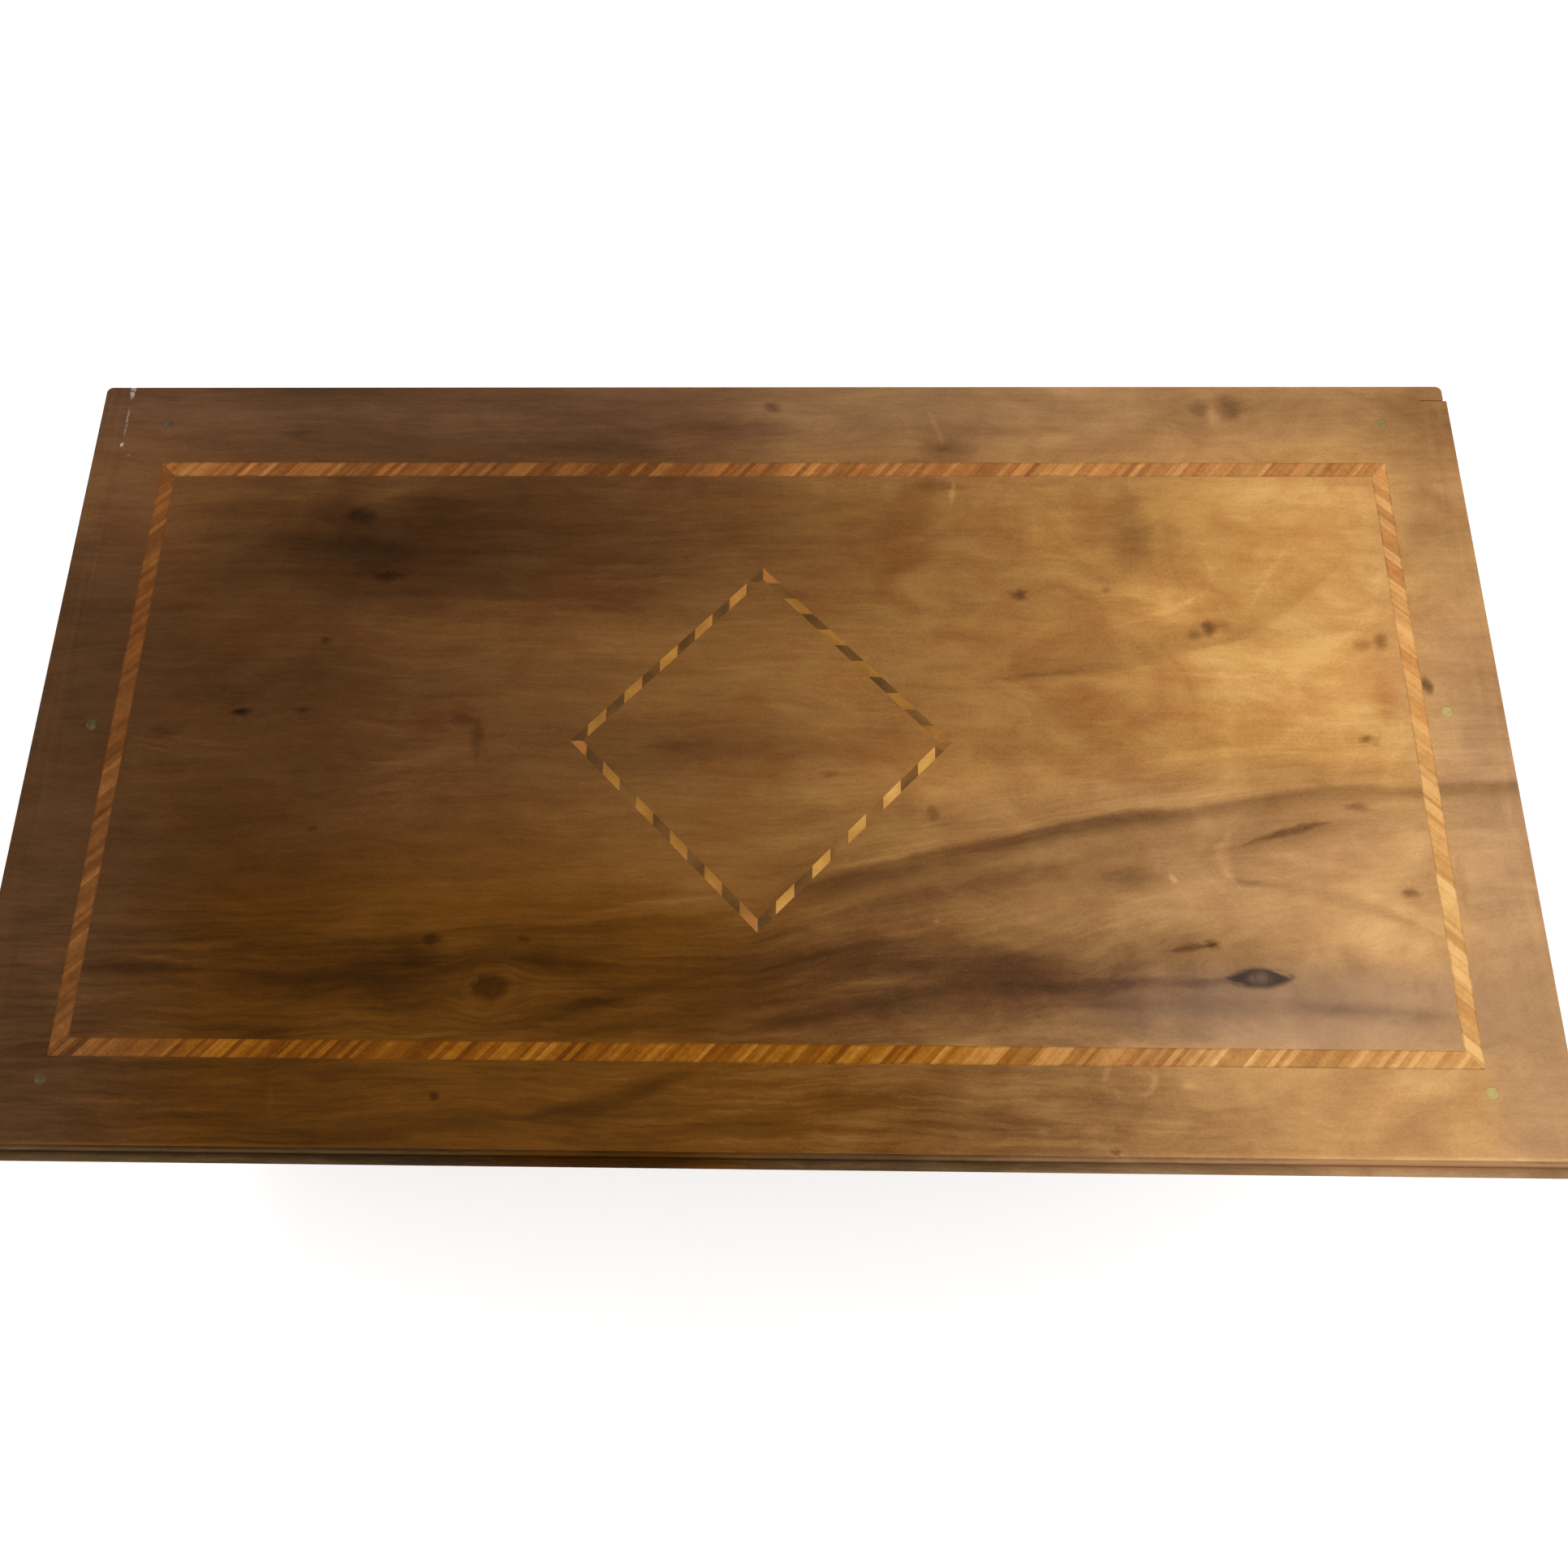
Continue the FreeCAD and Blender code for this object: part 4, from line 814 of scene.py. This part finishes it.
def banding_finish(name, node, run, lean, tones, per_mm, contrast):
    """Leaning strips along a run, as light as the tones listed from its low end to its high end."""
    material, shader, place = new_finish(name)
    low, high = box_mm(node)
    across = 1 - run
    coordinate = axes(place)
    along = coordinate[run] - coordinate[across] * lean
    group, _ = strip_cells(along, GROUPS_PER_MM)
    strip, rusty = strip_cells(along, per_mm)
    lines = along.node("TexNoise", {"noise_dimensions": "1D"}, {"W": along, "Scale": 0.7, "Detail": 3.0})
    fibres = noise(stretched(place, (1.5, 1.5, 1.5)), 2.0)
    blotches = noise(stretched(place, (0.30, 0.30, 0.30)), 3.0, 0.6)
    strips = swing(group, 0.10) + swing(strip, 0.20) + swing(lines, 0.20)
    tone = tones_along(coordinate[run], low[run], high[run], tones) + strips * contrast
    tone = tone + swing(blotches, 0.16) + swing(fibres, 0.12)
    colour = strip_colour(tone, rusty, *coordinate[:2])
    half = (high[across] - low[across]) / 2
    frayed = abs(coordinate[across] - (low[across] + half)) + swing(blotches, 1.0)
    joint = step(frayed, half - 0.5, half)
    lay(shader, {
        "Base Color": blend(joint * 0.35, colour, JOINT_BROWN),
        "Roughness": 0.38 + swing(fibres, 0.2),
        "Specular IOR Level": 0.02,
        "Normal": bump(fibres - joint, 0.03),
    })
    dress(node, material)


# the tones from end to end hold painted light: the bands are darker at the left and lighter at the right
BANDS = {  # the run, how the strips lean, tones from end to end, strips per millimetre, and contrast
    "front": (ALONG_X, 0.95, (0.475, 0.505, 0.525, 0.61, 0.80, 0.87), 0.62, 0.9),
    "back": (ALONG_X, 0.85, (0.56, 0.54, 0.475, 0.68, 0.74, 0.77), 0.55, 0.8),
    "left": (ALONG_Y, 0.95, (0.485, 0.46, 0.455, 0.51), 0.55, 0.6),
    "right": (ALONG_Y, -0.95, (0.92, 0.92, 0.91, 0.82), 0.33, 0.9),
}
for side, band in BANDS.items():
    banding_finish(f"banding_{side}", f"band_{side}", *band)
print(len(BANDS), "bands of leaning strips")

# %% [markdown]
# ## The diamond
# The diamond is laid from small separate blocks, light and dark by turns, and they are real pieces in the
# CAD. Its finish only needs to vary from block to block: they were cut from different offcuts, and light
# has bleached some of the dark ones until they all but vanish. Tones that change from side to side of the
# diamond are enough for that, and the end blocks at the four corners get a colour of their own.

# %% Light and dark blocks of the diamond
DIAMOND_LOW, DIAMOND_HIGH = box_mm("diamond_light_blocks")
DIAMOND_MIDDLE = (DIAMOND_LOW + DIAMOND_HIGH) / 2
HONEY = [
    (0.45, (115, 72, 28)), (0.58, (148, 99, 43)), (0.68, (173, 120, 54)), (0.80, (204, 149, 74)),
    (0.90, (228, 174, 94)),
]
SMOKED = [
    (0.20, (51, 35, 18)), (0.30, (76, 53, 28)), (0.37, (94, 64, 33)), (0.48, (122, 84, 43)),
    (0.60, (150, 106, 56)),
]
TIP = 2.0
RUSTY_TIP, SMOKED_TIP, DULL_TIP = paint(172, 108, 58), paint(90, 62, 32), paint(152, 102, 52)
TIPS = [  # where the end blocks lie at the four corners, and their colour
    (DIAMOND_MIDDLE.x - TIP, DIAMOND_HIGH.y - TIP, SMOKED_TIP),
    (DIAMOND_MIDDLE.x + TIP, DIAMOND_HIGH.y - TIP, RUSTY_TIP),
    (DIAMOND_LOW.x + TIP, DIAMOND_MIDDLE.y + TIP, SMOKED_TIP),
    (DIAMOND_LOW.x + TIP, DIAMOND_MIDDLE.y - TIP, RUSTY_TIP),
    (DIAMOND_MIDDLE.x + TIP, DIAMOND_LOW.y + TIP, SMOKED_TIP),
    (DIAMOND_MIDDLE.x - TIP, DIAMOND_LOW.y + TIP, RUSTY_TIP),
    (DIAMOND_HIGH.x - TIP, DIAMOND_MIDDLE.y, DULL_TIP),
]


def block_finish(name, node, stops, tone_of):
    """Small blocks of one wood, each a little different, their tone given by a function of x and y."""
    material, shader, place = new_finish(name)
    x, y, _ = axes(place)
    each = noise(stretched(place, (0.17, 0.17, 0.0)), 0.0)
    fibres = noise(stretched(place, (1.2, 3.0, 1.2)), 3.0)
    tone = tone_of(x - DIAMOND_MIDDLE.x, y - DIAMOND_MIDDLE.y) + swing(each, 0.25) + swing(fibres, 0.14)
    colour = ramp(tone, stops)
    for tip_x, tip_y, shade in TIPS:
        tip = step(distance_from(place, (tip_x, tip_y, TIP, TIP)), 1.1, 0.9)
        colour = blend(tip * 0.75, colour, shade)
    lay(shader, {"Base Color": colour, "Roughness": 0.36 + fibres * 0.08, "Specular IOR Level": 0.02})
    dress(node, material)


def light_tone(x, y):
    """Bright blocks towards the rear left and the front right, duller ones on the other two sides, on a
    slight slope of painted light, lighter to the right and the rear.
    """
    left = step(x, 2.0, -2.0)
    front = step(y, 2.0, -2.0)
    return 0.575 + left * 0.095 + front * 0.205 - left * front * 0.225 + (x + y * 0.5) * 0.0012


def dark_tone(x, y):
    """Smoked blocks, some faded almost to the top's own colour in front, darkest at the rear right, and
    lighter to the right with the painted light.
    """
    faded = step(abs(x - 24.0), 11.0, 3.0) + step(abs(x + 32.0), 6.0, 3.0) * 0.5
    deep = step(abs(x - 21.0), 15.0, 10.0) * step(y, 4.0, 8.0)
    return 0.435 + x * 0.0014 + faded * step(y, -8.0, -14.0) * 0.12 - deep * 0.08


block_finish("light_inlay", "diamond_light_blocks", HONEY, light_tone)
block_finish("dark_inlay", "diamond_dark_blocks", SMOKED, dark_tone)
print("diamond", [round(size, 1) for size in DIAMOND_HIGH - DIAMOND_LOW], "mm")

# %% [markdown]
# ## Pegs, brass and steel
# The pegs show their end grain, so their finish is rings and dots seen from the end, with a greenish
# cast. Brass dulls to brown where no hand rubs it. The steel pins are turned, so fine lines run round
# them.

# %% Finishes of pegs and metal
PEG_TONES = [(0.25, (66, 56, 32)), (0.36, (92, 74, 44)), (0.60, (150, 124, 74)), (0.85, (200, 178, 106))]


def peg_finish(name):
    """End grain with the painted light of the top round it, darker at the left and lighter at the right,
    but darker at the rear right.
    """
    material, shader, place = new_finish(name)
    x, y, _ = axes(place)
    dots = noise(stretched(place, (2.2, 2.2, 2.2)), 2.0)
    rings = noise(stretched(place, (0.5, 0.9, 0.5)), 1.0)
    rear_right = step(y, 60.0, 80.0) * step(x, 0.0, 100.0)
    tone = painted_light_gradient(x) + swing(rings, 0.2) + swing(dots, 0.2) - rear_right * 0.22
    lay(shader, {
        "Base Color": ramp(tone, PEG_TONES),
        "Roughness": 0.4 + swing(dots, 0.3),
        "Specular IOR Level": 0.1,
        "Normal": bump(dots, 0.05),
    })
    return material


def metal_finish(name, bright, dull, lines, roughness):
    """Worn metal, bright where rubbed. The lines are scales along x, y and z for its tool marks."""
    material, shader, place = new_finish(name)
    patina = step(noise(stretched(place, (0.12, 0.12, 0.12)), 5.0, 0.65), 0.40, 0.68)
    scratches = noise(stretched(place, lines), 2.0)
    lay(shader, {
        "Base Color": blend(patina, paint(*bright), paint(*dull)),
        "Metallic": 1.0,
        "Roughness": roughness + patina * 0.2 + swing(scratches, 0.15),
        "Normal": bump(scratches, 0.01),
    })
    return material


peg_wood = peg_finish("peg_wood")
brass = metal_finish("brass", (196, 158, 88), (122, 88, 44), (0.3, 6.0, 6.0), 0.28)
steel = metal_finish("steel", (188, 186, 182), (120, 116, 110), (7.0, 0.4, 0.4), 0.26)
print("pegs, brass and steel")

# %% [markdown]
# ## Worn copies of the boards
# A planed board never keeps a knife edge: each arris is eased with a stroke of the plane and then rubbed
# round by hands. A CAD solid is all knife edges, so each board is copied, its loose triangles are joined,
# its flat faces made whole, and its long outer edges bevelled. Edges against the inlaid top stay square,
# because there the boards are glued and scraped flush.

# %% Copy a node and turn a copy into a piece
SMOOTH_BELOW = math.radians(25)
JOIN_WITHIN = 0.001 * MM


def merged_copy(node):
    """A bmesh of a CAD node with its triangles joined and its flat faces made whole."""
    shape = bmesh.new()
    shape.from_mesh(frame["nodes"][node].data)
    bmesh.ops.remove_doubles(shape, verts=shape.verts, dist=JOIN_WITHIN)
    bmesh.ops.dissolve_limit(shape, angle_limit=math.radians(0.5), verts=shape.verts, edges=shape.edges)
    return shape


def add_object(name, data):
    """A new object in the scene, at the origin."""
    thing = bpy.data.objects.new(name, data)
    bpy.context.scene.collection.objects.link(thing)
    return thing


def mesh_of(name, shape):
    """Turn a bmesh into a mesh."""
    mesh = bpy.data.meshes.new(name)
    shape.to_mesh(mesh)
    shape.free()
    return mesh


def make_piece(name, shape, finish, node):
    """Turn a bmesh into a piece that stands for a node, on its body."""
    mesh = mesh_of(name, shape)
    mesh.polygons.foreach_set("use_smooth", [True] * len(mesh.polygons))
    mesh.set_sharp_from_angle(angle=SMOOTH_BELOW)
    mesh.materials.append(finish)
    piece = add_object(name, mesh)
    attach(piece, BODY_OF[node])
    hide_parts(node)


print("faces that meet below", round(math.degrees(SMOOTH_BELOW)), "degrees are shaded as one")

# %% Ease the edges of the boards
EASE_ABOVE = math.radians(35)
SHORTEST_EDGE = 2.0 * MM
TOUCH = 0.1 * MM


def bevel(shape, edges, width, segments):
    """Round edges off over a width in millimetres."""
    bmesh.ops.bevel(shape, geom=edges, offset=width * MM, offset_type="OFFSET", segments=segments,
                    profile=0.5, affect="EDGES", clamp_overlap=True, material=-1)


def touches(edge, box):
    """Whether an edge lies on a box's faces or inside it."""
    return all(low - TOUCH < value < high + TOUCH
               for vert in edge.verts for value, low, high in zip(vert.co, *box))


def is_outer(edge):
    """Whether an edge is long, sticks out, and runs along an axis, as mitres do not."""
    if not (edge.is_manifold and edge.is_convex):
        return False
    line = edge.verts[1].co - edge.verts[0].co
    straight = max(map(abs, line.normalized())) > 0.999
    return straight and line.length > SHORTEST_EDGE and edge.calc_face_angle() > EASE_ABOVE


def ease_edges(shape, width, glued_to=None):
    """Bevel the long outer edges, except those glued to another node, and count them."""
    edges = [edge for edge in shape.edges if is_outer(edge)]
    if glued_to:
        edges = [edge for edge in edges if not touches(edge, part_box(glued_to))]
    bevel(shape, edges, width, 2)
    return len(edges)


EASED = {  # width of the easing in millimetres, the finish, and the nodes
    "case walls and lid rails along x": (0.4, walnut_case[ALONG_X], [
        "front_wall", "back_wall", "lid_front_rail", "lid_back_rail"]),
    "case walls and lid rails along y": (0.4, walnut_case[ALONG_Y], [
        "left_wall", "right_wall", "lid_left_rail", "lid_right_rail"]),
    "plinth along x": (0.4, walnut_plinth[ALONG_X], ["plinth_front", "plinth_back"]),
    "plinth along y": (0.4, walnut_plinth[ALONG_Y], ["plinth_left", "drawer_front"]),
    "lining along x": (0.35, lining_wood[ALONG_X], [
        "floor_board", "base_board", "drawer_guide_front", "drawer_guide_back", "drawer_side_front",
        "drawer_side_back", "drawer_bottom", "till_front", "till_back", "till_ledge_front",
        "till_ledge_back", "pin_housing_left", "pin_housing_right"]),
    "lining along y": (0.35, lining_wood[ALONG_Y], [
        "drawer_back", "till_left", "till_right", "till_bottom"]),
    "lock pieces": (0.35, hard_maple, ["lid_catch", "key_cam"]),
    "hinge leaves": (0.2, brass, ["hinge_lid_leaves", "hinge_case_leaves"]),
}
for group, (width, finish, nodes) in EASED.items():
    eased = 0
    for node in nodes:
        shape = merged_copy(node)
        eased += ease_edges(shape, width)
        make_piece(f"{node}_eased", shape, finish, node)
    print(f"{group}: {len(nodes)} pieces, {eased} edges eased")

# %% [markdown]
# ## The edge of the lid
# The lippings and the front moulding frame the top. Their outer arrises are rubbed rounder than the rest,
# and the two rear corners have worn to a small radius, so those two upright edges are bevelled first, and
# wider.

# %% Lippings, moulding and rear strip
ARRIS, CORNER = 0.5, 1.8
LID_EDGES = {  # which end of the x axis the worn rear corner is at, if the piece has one
    "lid_front_moulding": None, "lid_left_lipping": 0, "lid_right_lipping": None, "lid_rear_strip": 1,
}


def round_corner(shape, corner):
    """Bevel the upright edges that stand on a corner at (x, y)."""
    edges = [
        edge for edge in shape.edges
        if all((vert.co.xy - corner).length < 0.01 * MM for vert in edge.verts)
    ]
    bevel(shape, edges, CORNER, 4)


for node, worn_end in LID_EDGES.items():
    shape = merged_copy(node)
    if worn_end is not None:
        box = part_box(node)
        round_corner(shape, Vector((box[worn_end][0], box[1][1])))
    eased = ease_edges(shape, ARRIS, "lid_board")
    make_piece(f"{node}_eased", shape, walnut_top, node)
    print(node, eased, "edges eased")

# %% [markdown]
# ## Turned feet
# A bun foot is turned on a lathe: one profile, spun about its axis. The belly is a circular arc between
# two equal necks, and two scribed lines mark its widest part, as a turner leaves them for decoration. The
# front left foot is the key and turns with its own body, but it has to look like the other three.

# %% Spin the feet
SPIN_STEPS = 48
NECK_RADIUS, SCRIBE_DEPTH = 11.0, 0.45
SOLE_EASING, SOLE_RISE = 0.6, 0.3
BELLY_STEPS, SCRIBED_STEPS = 24, (10, 14)


def spun(profile, centre):
    """A closed turning from (radius, height) points in millimetres that start and end on the axis."""
    shape = bmesh.new()
    line = [shape.verts.new((radius * MM, 0.0, height * MM)) for radius, height in profile]
    for start, end in zip(line, line[1:]):
        shape.edges.new((start, end))
    bmesh.ops.spin(shape, geom=shape.verts[:] + shape.edges[:], axis=(0, 0, 1), cent=(0, 0, 0),
                   steps=SPIN_STEPS, angle=math.tau, use_merge=True)
    bmesh.ops.remove_doubles(shape, verts=shape.verts, dist=JOIN_WITHIN)
    bmesh.ops.recalc_face_normals(shape, faces=shape.faces)
    bmesh.ops.translate(shape, verts=shape.verts, vec=centre)
    return shape


def foot_profile(belly, height):
    """Sole, belly with two scribed lines, and neck."""
    swell = belly - NECK_RADIUS
    bend = (swell ** 2 + (height / 2) ** 2) / (2 * swell)
    profile = [(0.0, 0.0), (NECK_RADIUS - SOLE_EASING, 0.0)]
    for count in range(BELLY_STEPS + 1):
        level = SOLE_RISE + (height - SOLE_RISE) * count / BELLY_STEPS
        radius = math.sqrt(bend ** 2 - (level - height / 2) ** 2) - (bend - belly)
        profile.append((radius - (SCRIBE_DEPTH if count in SCRIBED_STEPS else 0.0), level))
    return profile + [(0.0, height)]


FOOT_HEIGHT = box_mm("base_board")[0].z
for node in ("foot_front_right", "foot_back_left", "foot_back_right", "key_foot"):
    low, high = box_mm(node)
    middle = (low + high) / 2
    profile = foot_profile((high.x - low.x) / 2, min(high.z, FOOT_HEIGHT))
    shape = spun(profile, Vector((middle.x, middle.y, 0.0)) * MM)
    make_piece(f"{node}_turned", shape, turned_feet, node)
    print(node, "belly", round(high.x - low.x, 1), "mm across")

# %% [markdown]
# ## Pegs and pins
# Pegs are cut off proud and pared, so each end is very slightly domed. The steel pins have rounded ends.
# They are grouped as in the CAD, where one node holds all pegs of a kind, so the separate solids in a
# node are found first, and each gets its own small shape: a cylinder that fills the solid's box.

# %% Find the separate solids of a node
def solids_of(node):
    """The points of each separate solid."""
    shape = merged_copy(node)
    waiting = set(shape.verts)
    groups = []
    while waiting:
        front = [waiting.pop()]
        group = []
        while front:
            vert = front.pop()
            group.append(vert.co.copy())
            for edge in vert.link_edges:
                other = edge.other_vert(vert)
                if other in waiting:
                    waiting.remove(other)
                    front.append(other)
        groups.append(group)
    shape.free()
    return sorted(groups, key=lambda group: tuple(corners_of(group)[0]))


print(len(solids_of("lid_pegs")), "pegs in the lid")

# %% Rods with domed or rounded ends
ROD_SIDES = 28
DOME_SHARES = (0.3, 0.3, 0.2)


def upright_to(axis, centre):
    """The matrix that turns something made along z to run along an axis through a centre."""
    direction = Vector([1.0 if number == axis else 0.0 for number in range(3)])
    turn = Vector((0, 0, 1)).rotation_difference(direction)
    return Matrix.Translation(centre) @ turn.to_matrix().to_4x4()


def add_rod(shape, points, axis, rounding, dome):
    """A rod that fills a solid's box, with rounded ends, or with ends raised to a low dome."""
    low, high = corners_of(points)
    radius = (high - low)[(axis + 1) % 3] / 2
    rod = bmesh.ops.create_cone(shape, cap_ends=True, segments=ROD_SIDES, radius1=radius, radius2=radius,
                                depth=(high - low)[axis], matrix=upright_to(axis, (low + high) / 2))
    faces = {face for vert in rod["verts"] for face in vert.link_faces}
    ends = [face for face in faces if len(face.verts) == ROD_SIDES]
    rims = list({edge for face in ends for edge in face.edges})
    if dome:
        for share in DOME_SHARES:
            rise = dome * MM * share
            bmesh.ops.inset_individual(shape, faces=ends, thickness=radius * share, depth=rise)
    bevel(shape, rims, rounding, 3)


RODS = {  # axis, rounding of the rim, dome in millimetres, finish
    "lid_pegs": (ALONG_Z, 0.12, 0.16, peg_wood), "wall_pegs": (ALONG_Y, 0.12, 0.16, peg_wood),
    "hinge_pins": (ALONG_X, 0.35, 0.0, steel), "lock_pin_left": (ALONG_X, 0.6, 0.0, steel),
    "lock_pin_right": (ALONG_X, 0.6, 0.0, steel),
}
for node, (axis, rounding, dome, finish) in RODS.items():
    shape = bmesh.new()
    solids = solids_of(node)
    for points in solids:
        add_rod(shape, points, axis, rounding, dome)
    make_piece(f"{node}_turned", shape, finish, node)
    print(node, len(solids), "rods")

# %% [markdown]
# ## Screws
# Each screw has a countersunk head with one slot, as old brass and steel screws have. It is turned like
# the feet, from the radii of its CAD solid. Two cuts across the flat of the head mark the slot, which is
# then pushed in. The slots all point different ways, because nobody lines them up under a hinge.

# %% Slotted screws
SLOT_WIDTH, SLOT_DEPTH = 0.28, 0.45
POINT_SHARE, POINT_LENGTH = 0.4, 1.5
FIRST_TURN, NEXT_TURN = 0.6, 1.9


def faces_at(shape, height):
    """The faces at a height in millimetres, or above it."""
    return [face for face in shape.faces if face.calc_center_median().z > (height - 0.01) * MM]


def cut_slot(screw, head_radius, length, turn):
    """Sink a slot across the flat head of a screw that stands on its point."""
    bmesh.ops.dissolve_faces(screw, faces=faces_at(screw, length))
    across = Vector((math.cos(turn), math.sin(turn), 0.0))
    for side in (-1, 1):
        head = faces_at(screw, length)
        parts = list({part for face in head for part in [face, *face.edges, *face.verts]})
        edge_of_slot = across * (side * SLOT_WIDTH * head_radius * MM)
        bmesh.ops.bisect_plane(screw, geom=parts, plane_co=edge_of_slot, plane_no=across)
    slot = min(faces_at(screw, length), key=lambda face: face.calc_center_median().xy.length)
    bmesh.ops.inset_region(screw, faces=[slot], thickness=0.02 * MM, depth=-SLOT_DEPTH * head_radius * MM)


def add_screw(shape, points, turn):
    """A countersunk screw along z that fills a solid's points, its slot turned by an angle."""
    low, high = corners_of(points)
    middle = (low + high) / 2
    length = (high.z - low.z) / MM
    radii = [(point.xy - middle.xy).length / MM for point in points]
    head = max(radii)
    shank = min(radius for radius in radii if radius > 0.1)
    head_up = max(point.z for point, radius in zip(points, radii) if radius > 0.95 * head) > middle.z
    screw = spun([(0.0, 0.0), (shank * POINT_SHARE, 0.0), (shank, POINT_LENGTH),
                  (shank, length - (head - shank)), (head, length), (0.0, length)], Vector((0, 0, 0)))
    cut_slot(screw, head, length, turn)
    if not head_up:
        half_turn = Matrix.Rotation(math.pi, 3, "X")
        bmesh.ops.rotate(screw, verts=screw.verts, cent=(0, 0, length * MM / 2), matrix=half_turn)
    bmesh.ops.translate(screw, verts=screw.verts, vec=Vector((middle.x, middle.y, low.z)))
    mesh = mesh_of("one_screw", screw)
    shape.from_mesh(mesh)
    bpy.data.meshes.remove(mesh)


for node, finish in {"hinge_lid_screws": brass, "hinge_case_screws": brass, "base_screws": steel}.items():
    shape = bmesh.new()
    solids = solids_of(node)
    for count, points in enumerate(solids):
        add_screw(shape, points, FIRST_TURN + NEXT_TURN * count)
    make_piece(f"{node}_slotted", shape, finish, node)
    print(node, len(solids), "screws")

# %% [markdown]
# ## Small pieces that keep their CAD shape
# Three kinds of piece are hidden nearly all the time: the plugs in the pins' housings, and the shaft and
# the bush of the key foot. They are plain cylinders and tubes already, so a finish is all that they need.

# %% Plugs, shaft and bush
dress("housing_plugs", lining_wood[ALONG_X])
dress("key_shaft", steel)
dress("key_shaft_bush", brass)
print("plugs, shaft and bush finished")

# %% [markdown]
# ## Camera, floor and light
# The box is looked down on from close by, a little to the right of its middle, with the camera slightly
# turned. The camera is set from that position and three angles. A wide white floor under a sky that is
# bright at the horizon stands for a plain studio. The lamps are large and high, so that shadows are soft
# and stay close to the box.

# %% Camera
IMAGE_SIDE = 1932
FOCAL_PIXELS = 1305
SENSOR_MM = 36.0
CAMERA_PLACE = Vector((9.36, -83.46, 379.1)) * MM
PITCH, YAW, ROLL = math.radians(74.05), math.radians(-3.49), math.radians(-3.04)


def looking(forward, right, place):
    """The matrix of something at a place that looks along forward with its own x along right."""
    columns = [right, right.cross(forward), -forward]
    return Matrix.Translation(place) @ Matrix(columns).transposed().to_4x4()


forward = Vector((math.sin(YAW) * math.cos(PITCH), math.cos(YAW) * math.cos(PITCH), -math.sin(PITCH)))
level = Vector((math.cos(YAW), -math.sin(YAW), 0.0))
rolled = level * math.cos(ROLL) + level.cross(forward) * math.sin(ROLL)
camera = add_object("camera", bpy.data.cameras.new("camera"))
camera.data.sensor_width = SENSOR_MM
camera.data.lens = FOCAL_PIXELS / IMAGE_SIDE * SENSOR_MM
camera.data.clip_start = 0.01
camera.matrix_world = looking(forward, rolled, CAMERA_PLACE)
bpy.context.scene.camera = camera
print("camera at", [round(value, 4) for value in camera.location])

# %% Floor
FLOOR_RADIUS = 6.0
WHITE, PAPER = (1.0, 1.0, 1.0, 1.0), (0.92, 0.92, 0.92, 1.0)
NEAR_GLOW, OVERHEAD_GREY = (0.2, 0.2, 0.2, 1.0), (0.35, 0.35, 0.35, 1.0)
floor_shape = bmesh.new()
bmesh.ops.create_circle(floor_shape, cap_ends=True, segments=96, radius=FLOOR_RADIUS)
floor = add_object("floor", mesh_of("floor", floor_shape))
floor_finish, floor_shader, spot = new_finish("floor_paper")
# The floor glows as well: faintly near the box, which lifts its shadows there, and fully far off, so that
# it fades into the bright sky.
far = step(distance_from(spot, (0, 0, 1000, 1000)), 0.8, 2.6)
lay(floor_shader, {
    "Base Color": PAPER, "Roughness": 0.9, "Specular IOR Level": 0.1,
    "Emission Color": blend(far, NEAR_GLOW, WHITE), "Emission Strength": 0.6,
})
floor.data.materials.append(floor_finish)
print("floor", FLOOR_RADIUS * 2, "m across")

# %% Lamps and sky
LAMPS = {  # place in metres, size in metres, power in watts
    "front_lamp": ((-0.35, -0.9, 1.9), (1.6, 1.0), 20.5),
    "right_lamp": ((1.3, -0.1, 1.5), (1.2, 1.2), 9.5),
    "rear_lamp": ((-0.3, 1.6, 0.9), (1.6, 0.8), 6.0),
}
lid_middle = (LID_LOW + LID_HIGH) / 2 * MM
for name, (place, size, watts) in LAMPS.items():
    lamp = add_object(name, bpy.data.lights.new(name, "AREA"))
    lamp.data.shape = "RECTANGLE"
    lamp.data.size, lamp.data.size_y = size
    lamp.data.energy = watts
    towards = (lid_middle - Vector(place)).normalized()
    sideways = towards.cross(Vector((0, 0, 1))).normalized()
    lamp.matrix_world = looking(towards, sideways, Vector(place))
world = bpy.data.worlds.new("studio")
world.use_nodes = True
sky = world.node_tree
direction = Link(sky, sky.nodes.new("ShaderNodeTexCoord").outputs["Generated"])
overhead = step(axes(direction)[2], 0.0, 1.0, "LINEAR")
lay(sky.nodes["Background"], {"Color": blend(overhead, WHITE, OVERHEAD_GREY), "Strength": 1.0})
bpy.context.scene.world = world
bpy.context.scene.view_settings.view_transform = "Standard"
print(len(LAMPS), "lamps under a bright horizon")
